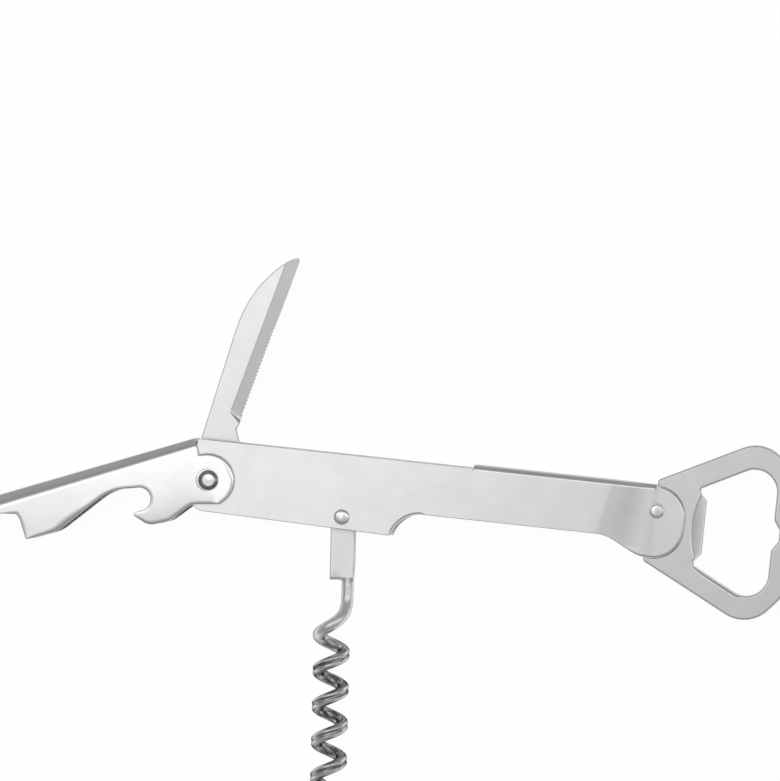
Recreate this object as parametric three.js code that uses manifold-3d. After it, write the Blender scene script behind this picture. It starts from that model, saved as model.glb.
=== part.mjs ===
// A folding wine opener of sheet steel: a channel handle with a foil knife, a corkscrew worm, a boot
// lever for the bottle's rim and a cap opener loop. Every length is in millimetres.
// X runs along the handle from the main rivet to the cap opener, Y runs towards the handle's folded
// back, and Z runs across the walls, up from the end of the main rivet that the opener lies on.

import * as THREE from "three";
import { mergeVertices } from "three/addons/utils/BufferGeometryUtils.js";
import Module from "manifold-3d";

const wasm = await Module();
wasm.setup();

// Gaps
const slideGap = 0.1;
const pinGap = 0.08;
const seatGap = 0.3;
const clampGap = 0.05;
const overrun = 2;

// Handle: sheet and width across
const handleSheet = 1;
const channelWidth = 9.4;
const handleBend = 1.2;

// Handle: side outline, measured from the main rivet's axis
const handleEnd = 3.5;
const handleRise = 9.6;
const handleDepth = 7.5;
const handleCorner = 3;
const notchAlong = 44.8;
const notchDepth = 8.6;
const notchRadius = 7.6;
const narrowDepth = 2.8;
const slotSpare = 6;

// Handle: the lobe that holds the cap opener
const openerRivetAlong = 107.5;
const openerRivetRise = 4.1;
const lobeRise = 9.9;
const lobeDepth = 7.4;
const lobeLength = 6.9;
const lobeRadius = 7.4;
const lobeHeelRadius = 9;
const flareToRivet = 11.5;
const flareRadius = 10;
const pinchLength = 9;
const pinchToRivet = 2.5;

// Main rivet and what turns on it
const mainPinRadius = 1.55;
const mainHeadRadius = 2.4;
const mainHeadFlat = 1.45;
const mainHeadRise = 0.8;
const washerThickness = 0.4;
const washerRadius = 4.2;
const spacerWall = 0.75;

// Boot lever
const leverSheet = 1;
const leverReach = 57;
const leverRise = 10.5;
const leverRiseAtTip = 10.1;
const leverBend = 1.9;
const leverBendAtTip = 2.8;
const leverEar = 6.4;
const hookAlong = 17;
const hookRadius = 2.75;

// Foil knife
const knifeThickness = 1.4;
const knifeReach = 57.1;
const knifeEdge = 1.93;
const knifeWidth = 8.65;
const knifeTang = 5;
const heelAlong = 10.8;
const heelOut = 3.55;
const choilAlong = 13.5;
const choilOut = 1.7;
const choilRadius = 0.8;
const grindWidth = 3;
const grindStart = 16.2;
const grindEdge = 0.3;

// Corkscrew worm
const wormPinAlong = 32.9;
const wormPinDrop = 5.4;
const wormPinRadius = 1.2;
const wormHeadRadius = 1.85;
const wormHeadRise = 0.5;
const shankThickness = 2;
const shankWidth = 6;
const shankLength = 15.1;
const neckLength = 3.5;
const neckInset = 0.22;
const neckRadius = 1;
const leadInStart = 20;
const wireRadius = 1.45;
const helixRadius = 3.12;
const helixOffset = 2.2;
const wormPitch = 8.5;
const wormReach = 65.7;
const pointRadius = 0.25;
const pointLength = 2.8;

// Cap opener, along and across from its rivet and from the plate's own centre line
const plateThickness = 2.2;
const plateAxisRise = 1.28;
const openerPinRadius = 1;
const openerFlangeRadius = 1.8;
const openerFlangeRise = 0.25;
const openerDomeRadius = 1.3;
const openerDomeRise = 0.75;
const tangLength = 6.4;
const tangDepth = 3.5;
const tangFoot = 7.6;
const loopNeck = 21.1;
const loopReach = 33.6;
const loopNose = 9.1;
const loopRim = 5.6;
const loopCorner = 8.3;
const loopFarCorner = 12;
const upperShoulder = 0.55;
const lowerShoulder = 2.2;
const shoulderRadius = 0.8;
const openingStart = 9.75;
const openingCorner = 0.5;
const openingFarCorner = 5.3;
const bulgeHeight = 7.2;
const bulgeCrown = 2.6;
const bulgeDepth = 1.55;
const bulgeRadius = 0.9;
const lipHeight = 15.6;
const lipTaper = 1.7;
const lipScoop = 1.65;
const lipReach = 3.5;
const lipRoot = 1.6;
const lipBendDrop = 0.9;
const lipDrop = 3.4;
const lipSheet = 1.3;

// Angles at which the pieces stand open, and the angles of straight edges
const leverOpenAngle = THREE.MathUtils.degToRad(21.8);
const knifeOpenAngle = THREE.MathUtils.degToRad(-14.4);
const wormOpenAngle = THREE.MathUtils.degToRad(4.7);
const earEndAngle = THREE.MathUtils.degToRad(261);
const flareAngle = THREE.MathUtils.degToRad(28.4);
const loopSlope = THREE.MathUtils.degToRad(26.8);
const loopFall = THREE.MathUtils.degToRad(48.6);

// Counts
const roundSides = 20;
const arcStep = THREE.MathUtils.degToRad(18);
const pinchSteps = 8;
const domeSteps = 3;
const lipSteps = 8;
const wireSides = 8;
const turnSteps = 12;
const leadInSteps = 8;

// Outlines as shares, chosen by hand. Each row of the lever's is along, across and corner radius, as
// shares of its reach, of its rise and of its rise.
const leverBellyShares = [
  [0.091, -0.438, 0.38],
  [0.202, -0.667, 0.48],
  [0.291, -0.638, 0.33],
  [0.348, -0.267, 0.03],
];
const leverSoleShares = [
  [0.405, 0.383, 1.1],
  [0.667, -0.2, 0.76],
  [0.8035, -0.19, 0.05],
  [0.806, 0.305, 0.1],
  [0.814, 0.429, 0.03],
  [1, 0.686, 0.14],
];
// The knife's back from its straight stretch to its tip, as shares of its reach and of its width.
const knifeBackShares = [
  [0.617, 1],
  [0.68, 1],
  [0.729, 0.971],
  [0.777, 0.913],
  [0.826, 0.828],
  [0.868, 0.71],
  [0.916, 0.55],
  [0.964, 0.34],
  [0.988, 0.19],
  [1, 0.05],
];
const knifeTipShare = 0.99;
// The most of one side of an outline that the fillets at its two ends may take.
const filletShare = 0.98;
// How far out along the lip its bend lies.
const lipBendShare = 0.5;

// Levels across the opener, from its middle plane outwards
const channelHalf = channelWidth / 2;
const handleHalf = channelHalf + handleSheet;
const leverInner = handleHalf + washerThickness + 2 * slideGap;
const leverHalf = leverInner + leverSheet;
const mainHeadSeat = leverHalf + slideGap;
const middleHeight = mainHeadSeat + mainHeadRise;
const knifeHalf = knifeThickness / 2;
const shankHalf = shankThickness / 2;
const plateHalf = plateThickness / 2;
const pinchInner = plateHalf + clampGap;
const pinchHalf = pinchInner + handleSheet;

// Places along the handle
const mainRivet = new THREE.Vector2(0, 0);
const openerRivet = new THREE.Vector2(openerRivetAlong, openerRivetRise);
const lobeEnd = openerRivetAlong + lobeLength;
const flareStart = openerRivetAlong - flareToRivet;
const wormPin = new THREE.Vector2(wormPinAlong, -wormPinDrop);
const slotEnd = knifeReach + slotSpare;
const spineEnd = openerRivetAlong - upperShoulder - seatGap;
const pinchEnd = openerRivetAlong - pinchToRivet;
const pinchStart = pinchEnd - pinchLength;
const loopPeakAlong = loopReach - loopNose;

const steel = (color, roughness) => new THREE.MeshStandardMaterial({ color, roughness, metalness: 1 });
const satinSteel = steel(0xd6d6d4, 0.34);
const polishedSteel = steel(0xe2e2e0, 0.16);
const bladeSteel = steel(0xcfd0cf, 0.28);
const wormSteel = steel(0xb4b3b0, 0.3);
const rivetSteel = steel(0xdcdcda, 0.2);
const innerSteel = steel(0xa9a9a6, 0.45);

// Points along an arc, both ends included; the sweep is positive when it runs anticlockwise.
function arc(centre, radius, from, sweep) {
  const steps = Math.max(1, Math.ceil(Math.abs(sweep) / arcStep));
  return Array.from({ length: steps + 1 }, (_, i) => {
    const angle = from + (sweep * i) / steps;
    return new THREE.Vector2(centre.x + radius * Math.cos(angle), centre.y + radius * Math.sin(angle));
  });
}

const circle = (centre, radius) => arc(centre, radius, 0, 2 * Math.PI).slice(1);

// How far an outline turns at a corner, positive to the left, and how far back a fillet there starts.
function turnAt(before, corner, after) {
  const inward = corner.clone().sub(before);
  const onward = after.clone().sub(corner);
  return Math.atan2(inward.cross(onward), inward.dot(onward));
}

const setbackOf = (radius, turn) => radius * Math.tan(Math.abs(turn) / 2);

// One corner of an outline, rounded with an arc that touches both of its sides.
function roundedCorner(before, corner, after, radius) {
  if (radius === 0) return [corner.clone()];
  const turn = turnAt(before, corner, after);
  const inward = corner.clone().sub(before).normalize();
  const normal = new THREE.Vector2(-inward.y, inward.x).multiplyScalar(Math.sign(turn));
  const centre = corner.clone().addScaledVector(inward, -setbackOf(radius, turn));
  return arc(centre.addScaledVector(normal, radius), radius, Math.atan2(-normal.y, -normal.x), turn);
}

const at = (x, y, radius = 0) => ({ point: new THREE.Vector2(x, y), radius });

// An open run of corners; its first and last points stay sharp, and where two fillets would meet on one
// side, both shrink to leave a little of it straight.
function roundedRun(corners) {
  const points = corners.map(({ point }) => point);
  const setbacks = corners.map(({ radius }, i) =>
    (radius > 0 ? setbackOf(radius, turnAt(points[i - 1], points[i], points[i + 1])) : 0));
  const room = points.slice(1).map((point, i) =>
    Math.min(1, (filletShare * point.distanceTo(points[i])) / (setbacks[i] + setbacks[i + 1])));
  return corners.flatMap(({ point, radius }, i) => (radius > 0
    ? roundedCorner(points[i - 1], point, points[i + 1], radius * Math.min(room[i - 1], room[i]))
    : [point]));
}

// A closed geometry becomes a solid once its shared corners are merged and slivers are dropped.
function solidOf(geometry) {
  const bare = new THREE.BufferGeometry();
  bare.setAttribute("position", geometry.getAttribute("position"));
  bare.setIndex(geometry.getIndex());
  const merged = mergeVertices(bare);
  const index = merged.getIndex().array;
  const kept = [];
  for (let i = 0; i < index.length; i += 3) {
    const [a, b, c] = [index[i], index[i + 1], index[i + 2]];
    if (a !== b && b !== c && c !== a) kept.push(a, b, c);
  }
  return new wasm.Manifold(new wasm.Mesh({
    numProp: 3,
    vertProperties: new Float32Array(merged.getAttribute("position").array),
    triVerts: new Uint32Array(kept),
  }));
}

function geometryOf(solid) {
  const mesh = solid.getMesh();
  const geometry = new THREE.BufferGeometry();
  geometry.setAttribute("position", new THREE.BufferAttribute(mesh.vertProperties, 3));
  geometry.setIndex(new THREE.BufferAttribute(mesh.triVerts, 1));
  geometry.computeVertexNormals();
  return geometry;
}

// A plate of the given outline, between two levels. Both kinds of outline are given to the shape
// anticlockwise, because it turns holes round only then.
function plate(outline, low, high, holes = []) {
  const anticlockwise = (points) => (THREE.ShapeUtils.isClockWise(points) ? points.toReversed() : points);
  const shape = new THREE.Shape(anticlockwise(outline));
  shape.holes = holes.map((hole) => new THREE.Path(anticlockwise(hole)));
  const geometry = new THREE.ExtrudeGeometry(shape, { depth: high - low, bevelEnabled: false });
  geometry.translate(0, 0, low);
  return solidOf(geometry);
}

const rectangle = (left, right, bottom, top) => [
  new THREE.Vector2(left, bottom),
  new THREE.Vector2(right, bottom),
  new THREE.Vector2(right, top),
  new THREE.Vector2(left, top),
];

// A closed solid through rings of the same number of points, with a fan over each end.
function loft(rings) {
  const count = rings[0].length;
  const middle = (ring) => ring.reduce((sum, p) => sum.add(p), new THREE.Vector3()).divideScalar(count);
  const points = [...rings.flat(), middle(rings[0]), middle(rings.at(-1))];
  const first = points.length - 2;
  const last = points.length - 1;
  const top = (rings.length - 1) * count;
  const index = [];
  for (let i = 0; i < count; i += 1) {
    const next = (i + 1) % count;
    index.push(first, next, i, last, top + i, top + next);
    for (let low = 0; low < top; low += count) {
      const high = low + count;
      index.push(low + i, low + next, high + next, low + i, high + next, high + i);
    }
  }
  const geometry = new THREE.BufferGeometry().setFromPoints(points);
  geometry.setIndex(index);
  return solidOf(geometry);
}

// A piece turned on an axis along Z. Its profile, of radius and level, starts and ends on the axis or
// closes on itself.
function turned(profile) {
  const points = profile.map(([radius, level]) => new THREE.Vector2(radius, level));
  const geometry = new THREE.LatheGeometry(points, roundSides);
  geometry.rotateX(Math.PI / 2);
  return geometryOf(solidOf(geometry));
}

const ringPiece = (inner, outer, low, high) =>
  turned([[inner, low], [outer, low], [outer, high], [inner, high], [inner, low]]);

// A pin with the same head at each end; the head's profile runs from its rim to the axis.
function headedPin(pinRadius, head) {
  const seat = head[0][1];
  const mirrored = head.map(([radius, level]) => [radius, -level]).reverse();
  return turned([...mirrored, [pinRadius, -seat], [pinRadius, seat], ...head]);
}

// A dome's profile from its rim to its crown.
function domeProfile(radius, seat, rise) {
  return Array.from({ length: domeSteps + 1 }, (_, i) => {
    const angle = (Math.PI / 2) * (i / domeSteps);
    return [i === domeSteps ? 0 : radius * Math.cos(angle), seat + rise * Math.sin(angle)];
  });
}

// A folded channel across a straight line. At each station it has a half width, a back and a bend; the
// back faces +Y, and the open side reaches down to the given level.
function foldedBlock(stations, bottom) {
  return loft(stations.map(({ along, half, back, bend }) => {
    const right = arc(new THREE.Vector2(half - bend, back - bend), bend, 0, Math.PI / 2);
    const left = right.map((p) => new THREE.Vector2(-p.x, p.y)).reverse();
    const ring = [new THREE.Vector2(half, bottom), ...right, ...left, new THREE.Vector2(-half, bottom)];
    return ring.map((p) => new THREE.Vector3(along, p.y, -p.x));
  }));
}

const model = new THREE.Group();
model.position.z = middleHeight;

function add(parent, name, geometry, material, place = new THREE.Vector2()) {
  const mesh = new THREE.Mesh(geometry, material);
  mesh.name = name;
  mesh.position.set(place.x, place.y, 0);
  parent.add(mesh);
}

function turningGroup(place, angle) {
  const group = new THREE.Group();
  group.position.set(place.x, place.y, 0);
  group.rotation.z = angle;
  model.add(group);
  return group;
}

// The same ring piece in front of the middle plane and behind it.
function addPair(name, inner, outer, low, high, place) {
  add(model, `${name}_front`, ringPiece(inner, outer, low, high), innerSteel, place);
  add(model, `${name}_back`, ringPiece(inner, outer, -high, -low), innerSteel, place);
}

// Handle

function handleOutline() {
  const lobeHeel = flareStart + (lobeDepth - narrowDepth) / Math.tan(flareAngle);
  const notchFall = notchRadius - (notchDepth - narrowDepth);
  const notchRun = Math.sqrt(notchRadius ** 2 - notchFall ** 2);
  const notchCentre = new THREE.Vector2(notchAlong + notchRun, -narrowDepth - notchRadius);
  const notchFoot = Math.atan2(notchFall, -notchRun);
  const notch = arc(notchCentre, notchRadius, Math.PI / 2, notchFoot - Math.PI / 2);
  const far = roundedRun([
    at(-handleEnd, handleRise),
    at(spineEnd, handleRise),
    at(spineEnd, lobeRise),
    at(lobeEnd, lobeRise, lobeRadius),
    at(lobeEnd, -lobeDepth, lobeRadius),
    at(lobeHeel, -lobeDepth, lobeHeelRadius),
    at(flareStart, -narrowDepth, flareRadius),
    at(notch[0].x, notch[0].y),
  ]);
  const top = far[0];
  const corner = roundedCorner(notch.at(-1), new THREE.Vector2(-handleEnd, -handleDepth), top, handleCorner);
  return [...far, ...notch.slice(1), ...corner];
}

// The channel's width along the handle: full at first, then eased in to the cap opener's plate.
function handleStations(wide, narrow, back, bend, from, to) {
  const eased = Array.from({ length: pinchSteps + 1 }, (_, i) => pinchStart + (pinchLength * i) / pinchSteps);
  return [from, ...eased, to].map((along) => {
    const share = THREE.MathUtils.smoothstep(along, pinchStart, pinchEnd);
    return { along, half: THREE.MathUtils.lerp(wide, narrow, share), back, bend };
  });
}

function handleSolid() {
  const near = -handleEnd - overrun;
  const far = lobeEnd + overrun;
  const bottom = -notchDepth - overrun;
  const top = handleRise + overrun;
  const innerRise = handleRise - handleSheet;
  const innerBend = handleBend - handleSheet;
  const folded = foldedBlock(
    handleStations(handleHalf, pinchHalf, handleRise, handleBend, slotEnd, spineEnd), bottom);
  const lobe = plate(rectangle(spineEnd, far, bottom, top), -pinchHalf, pinchHalf);
  const unfolded = plate(rectangle(near, slotEnd, bottom, top), -handleHalf, handleHalf);
  const hollow = foldedBlock(
    handleStations(channelHalf, pinchInner, innerRise, innerBend, near - overrun, spineEnd),
    bottom - overrun);
  const slot = plate(rectangle(near - overrun, slotEnd, 0, top + overrun), -channelHalf, channelHalf);
  const lobeHollow = plate(
    rectangle(spineEnd, far + overrun, bottom - overrun, top + overrun), -pinchInner, pinchInner);
  const holes = [
    circle(mainRivet, mainPinRadius + pinGap),
    circle(wormPin, wormPinRadius + pinGap),
    circle(openerRivet, openerPinRadius + pinGap),
  ];
  const side = plate(handleOutline(), -handleHalf - overrun, handleHalf + overrun, holes);
  const outside = folded.add(unfolded).add(lobe);
  return outside.subtract(hollow).subtract(slot).subtract(lobeHollow).intersect(side);
}

add(model, "handle_channel", geometryOf(handleSolid()), satinSteel);

// Cap opener

const openerOrigin = new THREE.Vector2(openerRivetAlong, plateAxisRise);

// The near side of the opening is scooped along an arc, and the lip grows out of that arc.
const scoopRadius = ((lipHeight / 2) ** 2 + lipScoop ** 2) / (2 * lipScoop);
const scoopStart = openingStart - lipScoop;

// The loop's outside, from its upper shoulder round the far rim to the tang.
function loopOutline() {
  const sideRise = (along) => loopNeck / 2 + along * Math.tan(loopSlope);
  const peak = sideRise(loopPeakAlong);
  const farRise = peak - (loopReach - loopPeakAlong) * Math.tan(loopFall);
  const tangTop = handleRise - handleSheet - seatGap - plateAxisRise;
  return roundedRun([
    at(-upperShoulder, tangTop),
    at(-upperShoulder, sideRise(-upperShoulder), shoulderRadius),
    at(loopPeakAlong, peak, loopCorner),
    at(loopReach, farRise, loopFarCorner),
    at(loopReach, -farRise, loopFarCorner),
    at(loopPeakAlong, -peak, loopCorner),
    at(-lowerShoulder, -sideRise(-lowerShoulder), shoulderRadius),
    at(-lowerShoulder, -tangFoot, shoulderRadius),
    at(-tangLength, -tangDepth, shoulderRadius),
    at(-tangLength, tangTop),
  ]);
}

// The opening: sides along the outside's, a scooped near side for the lip, a notched far side.
function openingOutline() {
  const far = loopReach - loopRim;
  const sideRise = (along) => loopNeck / 2 + along * Math.tan(loopSlope) - loopRim / Math.cos(loopSlope);
  const scoopAngle = Math.asin(lipHeight / 2 / scoopRadius);
  const scoopCentre = new THREE.Vector2(scoopStart + scoopRadius, 0);
  const scoop = arc(scoopCentre, scoopRadius, Math.PI - scoopAngle, 2 * scoopAngle);
  const upper = [
    at(openingStart, sideRise(openingStart), openingCorner),
    at(far, sideRise(far), openingFarCorner),
    at(far, bulgeHeight / 2, bulgeRadius),
    at(far + bulgeDepth, bulgeCrown / 2, bulgeRadius),
  ];
  const lower = upper.map(({ point, radius }) => at(point.x, -point.y, radius)).reverse();
  const [first, last] = [scoop[0], scoop.at(-1)];
  const run = roundedRun([at(first.x, first.y), ...upper, ...lower, at(last.x, last.y)]);
  return [...run, ...scoop.slice(1, -1).reverse()];
}

// The lip: the opening's near edge, bent back to catch under a cap's rim.
function lipSolid() {
  const free = scoopStart + lipReach;
  const rings = Array.from({ length: lipSteps + 1 }, (_, i) => {
    const share = (2 * i) / lipSteps - 1;
    const rise = (share * lipHeight) / 2;
    const freeRise = share * (lipHeight / 2 - lipTaper);
    const edge = scoopStart + scoopRadius - Math.sqrt(scoopRadius ** 2 - rise ** 2);
    const ring = [
      [edge - lipRoot, rise, plateHalf],
      [edge, rise, plateHalf],
      [THREE.MathUtils.lerp(edge, free, lipBendShare), rise, plateHalf - lipBendDrop],
      [free, freeRise, -lipDrop],
      [free - lipSheet, freeRise, -lipDrop - lipSheet / 2],
      [edge, rise, -plateHalf],
      [edge - lipRoot, rise, -plateHalf],
    ];
    return ring.map(([x, y, z]) => new THREE.Vector3(x, y, z));
  });
  return loft(rings);
}

function openerSolid() {
  const rivetHole = circle(new THREE.Vector2(0, openerRivetRise - plateAxisRise), openerPinRadius + pinGap);
  const loop = plate(loopOutline(), -plateHalf, plateHalf, [openingOutline(), rivetHole]);
  return loop.add(lipSolid());
}

add(model, "cap_opener_plate", geometryOf(openerSolid()), satinSteel, openerOrigin);

// Rivets, pin, washers and spacers

const openerSeat = pinchHalf + clampGap;
const openerHead = [
  [openerFlangeRadius, openerSeat],
  [openerFlangeRadius, openerSeat + openerFlangeRise],
  ...domeProfile(openerDomeRadius, openerSeat + openerFlangeRise, openerDomeRise),
];
add(model, "cap_opener_rivet", headedPin(openerPinRadius, openerHead), rivetSteel, openerRivet);

const mainHead = [[mainHeadRadius, mainHeadSeat], [mainHeadFlat, middleHeight], [0, middleHeight]];
add(model, "main_rivet", headedPin(mainPinRadius, mainHead), rivetSteel, mainRivet);

const wormHead = domeProfile(wormHeadRadius, handleHalf + clampGap, wormHeadRise);
add(model, "worm_pin", headedPin(wormPinRadius, wormHead), rivetSteel, wormPin);

addPair("lever_washer", mainPinRadius + pinGap, washerRadius,
  handleHalf + slideGap, leverInner - slideGap, mainRivet);
addPair("knife_spacer", mainPinRadius + pinGap, mainPinRadius + pinGap + spacerWall,
  knifeHalf + slideGap, channelHalf - slideGap, mainRivet);
addPair("worm_spacer", wormPinRadius + pinGap, wormPinRadius + pinGap + spacerWall,
  shankHalf + slideGap, channelHalf - slideGap, wormPin);

// Boot lever, drawn pointing along -X with its folded back up

// The folded back stops short of the handle's end face, which it rests against when it is open.
const leverBackEnd = (handleEnd + seatGap - (leverRise - leverSheet) * Math.sin(leverOpenAngle))
  / Math.cos(leverOpenAngle);

function leverOutline() {
  const corner = ([along, across, radius]) => at(along * leverReach, across * leverRise, radius * leverRise);
  const earStart = Math.acos(leverBackEnd / leverEar);
  const ear = arc(mainRivet, leverEar, earStart, earEndAngle - earStart);
  const hookFoot = at(hookAlong, -hookRadius);
  const hook = arc(new THREE.Vector2(hookAlong, 0), hookRadius, -Math.PI / 2, -Math.PI);
  const belly = roundedRun([at(ear.at(-1).x, ear.at(-1).y), ...leverBellyShares.map(corner), hookFoot]);
  const top = leverRise + overrun;
  const sole = roundedRun([at(hookAlong, hookRadius), ...leverSoleShares.map(corner), at(leverReach, top)]);
  const backEnd = new THREE.Vector2(leverBackEnd, top);
  const points = [...ear, ...belly.slice(1, -1), ...hook, ...sole.slice(1), backEnd];
  return points.map((p) => new THREE.Vector2(-p.x, p.y));
}

function leverStations(half, inset) {
  const far = leverReach + overrun + inset;
  return [-far, leverEar + overrun + inset].map((along) => {
    const share = THREE.MathUtils.clamp(-along / leverReach, 0, 1);
    const back = THREE.MathUtils.lerp(leverRise, leverRiseAtTip, share) - inset;
    const bend = THREE.MathUtils.lerp(leverBend, leverBendAtTip, share) - inset;
    return { along, half, back, bend };
  });
}

function leverSolid() {
  const bottom = -leverRise - overrun;
  const outside = foldedBlock(leverStations(leverHalf, 0), bottom);
  const inside = foldedBlock(leverStations(leverInner, leverSheet), bottom - overrun);
  const hole = circle(mainRivet, mainPinRadius + pinGap);
  const side = plate(leverOutline(), -leverHalf - overrun, leverHalf + overrun, [hole]);
  return outside.subtract(inside).intersect(side);
}

const leverGroup = turningGroup(mainRivet, leverOpenAngle);
add(leverGroup, "boot_lever", geometryOf(leverSolid()), polishedSteel);

// Foil knife, drawn pointing along +Y with its edge towards +X

function knifeOutline() {
  const backPoints = knifeBackShares.map(([along, across]) =>
    new THREE.Vector2(knifeEdge - across * knifeWidth, along * knifeReach));
  const back = new THREE.SplineCurve(backPoints).getPoints(2 * backPoints.length).reverse();
  const tang = arc(mainRivet, knifeTang, Math.PI, Math.PI);
  const root = roundedRun([
    at(knifeTang, 0),
    at(heelOut, heelAlong, choilRadius),
    at(choilOut, choilAlong, choilRadius),
    at(knifeEdge, grindStart),
  ]);
  const tip = new THREE.Vector2(knifeEdge, knifeTipShare * knifeReach);
  return [...tang, ...root.slice(1), tip, ...back];
}

// What the grindstone takes off one face, as a wedge from the blade's shoulder to its edge.
function grindSolid(side) {
  const section = [
    [knifeEdge - grindWidth, knifeHalf],
    [knifeEdge, grindEdge / 2],
    [knifeEdge + overrun, grindEdge / 2],
    [knifeEdge + overrun, knifeHalf + overrun],
    [knifeEdge - grindWidth, knifeHalf + overrun],
  ];
  const ring = (along) => section.map(([x, z]) => new THREE.Vector3(x, along, side * z));
  const rings = [ring(grindStart), ring(knifeReach + overrun)];
  return loft(side > 0 ? rings.reverse() : rings);
}

function knifeSolid() {
  const hole = circle(mainRivet, mainPinRadius + pinGap);
  const blade = plate(knifeOutline(), -knifeHalf, knifeHalf, [hole]);
  return blade.subtract(grindSolid(1)).subtract(grindSolid(-1));
}

const knifeGroup = turningGroup(mainRivet, knifeOpenAngle);
add(knifeGroup, "foil_knife", geometryOf(knifeSolid()), bladeSteel);

// Corkscrew worm, drawn pointing along -Y from its pin

const wireOffset = shankWidth / 2 - neckInset - wireRadius;
const steadyTurns = (wormReach - leadInStart - wormPitch) / wormPitch;

// The wire's middle line at a distance from the pin. It comes down straight, its turning picks up over
// one pitch until it keeps the worm's steady pitch, and it drifts in to the worm's radius meanwhile.
function wirePoint(along) {
  const run = Math.max(0, along - leadInStart) / wormPitch;
  const angle = run < 1 ? Math.PI * run ** 2 : Math.PI * (2 * run - 1);
  const share = THREE.MathUtils.smoothstep(run, 0, 1);
  const radius = THREE.MathUtils.lerp(wireOffset + helixOffset, helixRadius, share);
  return new THREE.Vector3(-helixOffset + radius * Math.cos(angle), -along, radius * Math.sin(angle));
}

function wireStops() {
  const shankEnd = shankLength + shankHalf;
  const lead = [shankEnd, shankLength + neckLength, leadInStart];
  const leadIn = Array.from({ length: leadInSteps }, (_, i) =>
    leadInStart + (wormPitch * (i + 1)) / leadInSteps);
  const steps = Math.ceil(steadyTurns * turnSteps);
  const steadyStart = leadInStart + wormPitch;
  const steady = Array.from({ length: steps }, (_, i) =>
    steadyStart + ((wormReach - steadyStart) * (i + 1)) / steps);
  return [...lead, ...leadIn, ...steady];
}

// The wire thins into the flat shank at its start and into its point at its end.
function wireRadiusAt(along) {
  const inShank = THREE.MathUtils.smoothstep(along, shankLength, shankLength + neckLength);
  const toPoint = THREE.MathUtils.clamp((wormReach - along) / pointLength, 0, 1);
  const start = THREE.MathUtils.lerp(shankHalf - clampGap, wireRadius, inShank);
  return Math.min(start, THREE.MathUtils.lerp(pointRadius, wireRadius, toPoint));
}

function wireSolid() {
  const step = wormPitch / turnSteps / turnSteps;
  return loft(wireStops().map((along) => {
    const centre = wirePoint(along);
    const tangent = wirePoint(along + step).sub(wirePoint(along - step)).normalize();
    const outward = new THREE.Vector3(centre.x + helixOffset, 0, centre.z);
    outward.addScaledVector(tangent, -outward.dot(tangent)).normalize();
    const side = tangent.clone().cross(outward);
    return Array.from({ length: wireSides }, (_, i) => {
      const angle = (2 * Math.PI * (i + 1 / 2)) / wireSides;
      const radius = wireRadiusAt(along);
      return centre.clone()
        .addScaledVector(outward, radius * Math.cos(angle))
        .addScaledVector(side, radius * Math.sin(angle));
    });
  }));
}

// The least gap between the surfaces of neighbouring turns, from points along the wire's middle line.
function leastTurnGap() {
  const stops = wireStops().filter((along) => along > leadInStart);
  const points = stops.map(wirePoint);
  const gaps = stops.flatMap((along, i) => stops
    .map((other, j) => (other - along > wormPitch / 2 ? points[i].distanceTo(points[j]) : Infinity)));
  return Math.min(...gaps) - 2 * wireRadius;
}

function shankSolid() {
  const right = shankWidth / 2;
  const neckEnd = -shankLength - neckLength;
  const neckRight = right - neckInset;
  const neckLeft = neckRight - 2 * wireRadius;
  const eye = arc(mainRivet, right, 0, Math.PI);
  const outline = roundedRun([
    at(-right, 0),
    at(-right, -shankLength, neckInset),
    at(neckLeft, -shankLength, neckRadius),
    at(neckLeft, neckEnd),
    at(neckRight, neckEnd),
    at(neckRight, -shankLength, neckInset),
    at(right, -shankLength + neckLength),
  ]);
  const hole = circle(mainRivet, wormPinRadius + pinGap);
  return plate([...eye, ...outline.slice(1)], -shankHalf, shankHalf, [hole]);
}

const wormGroup = turningGroup(wormPin, wormOpenAngle);
add(wormGroup, "corkscrew_worm", geometryOf(shankSolid().add(wireSolid())), wormSteel);
console.log("least gap between turns of the worm, mm:", leastTurnGap().toFixed(2));

export default model;
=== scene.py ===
# %% [markdown]
# # A folding wine opener in plain stainless steel
#
# The opener is bent from sheet steel: a channel handle, a boot lever that hooks over a bottle's rim, a
# foil knife, a grooved corkscrew worm and a cap opener loop. The CAD model fixes every size and joint.
# This script dresses it, so that each sheet has rolled edges, the knife has teeth and a ground bevel, and
# the worm has its pressed groove.

import math

import bmesh
import bpy
import numpy as np
from mathutils import Matrix, Vector
from mathutils.geometry import delaunay_2d_cdt


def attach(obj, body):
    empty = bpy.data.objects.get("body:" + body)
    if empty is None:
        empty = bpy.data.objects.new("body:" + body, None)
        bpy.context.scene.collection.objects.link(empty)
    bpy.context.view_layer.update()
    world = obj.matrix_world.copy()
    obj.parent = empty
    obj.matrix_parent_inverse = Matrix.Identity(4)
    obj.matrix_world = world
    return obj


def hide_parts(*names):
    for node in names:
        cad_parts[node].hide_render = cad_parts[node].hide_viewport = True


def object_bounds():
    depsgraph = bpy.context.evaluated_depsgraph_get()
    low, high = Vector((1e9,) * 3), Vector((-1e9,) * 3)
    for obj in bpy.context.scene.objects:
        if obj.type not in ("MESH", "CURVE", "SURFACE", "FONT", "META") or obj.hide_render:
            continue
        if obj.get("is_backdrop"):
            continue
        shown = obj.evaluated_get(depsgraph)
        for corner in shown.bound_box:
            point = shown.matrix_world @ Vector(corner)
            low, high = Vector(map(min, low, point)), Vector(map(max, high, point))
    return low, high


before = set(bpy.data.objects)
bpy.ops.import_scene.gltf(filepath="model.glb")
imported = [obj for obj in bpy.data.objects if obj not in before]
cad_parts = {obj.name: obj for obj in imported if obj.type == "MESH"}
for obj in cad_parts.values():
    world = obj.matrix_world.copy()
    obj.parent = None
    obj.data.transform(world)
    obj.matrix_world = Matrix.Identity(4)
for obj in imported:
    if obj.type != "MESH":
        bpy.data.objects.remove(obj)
cad_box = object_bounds()
print("solids loaded:", len(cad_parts))

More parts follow.
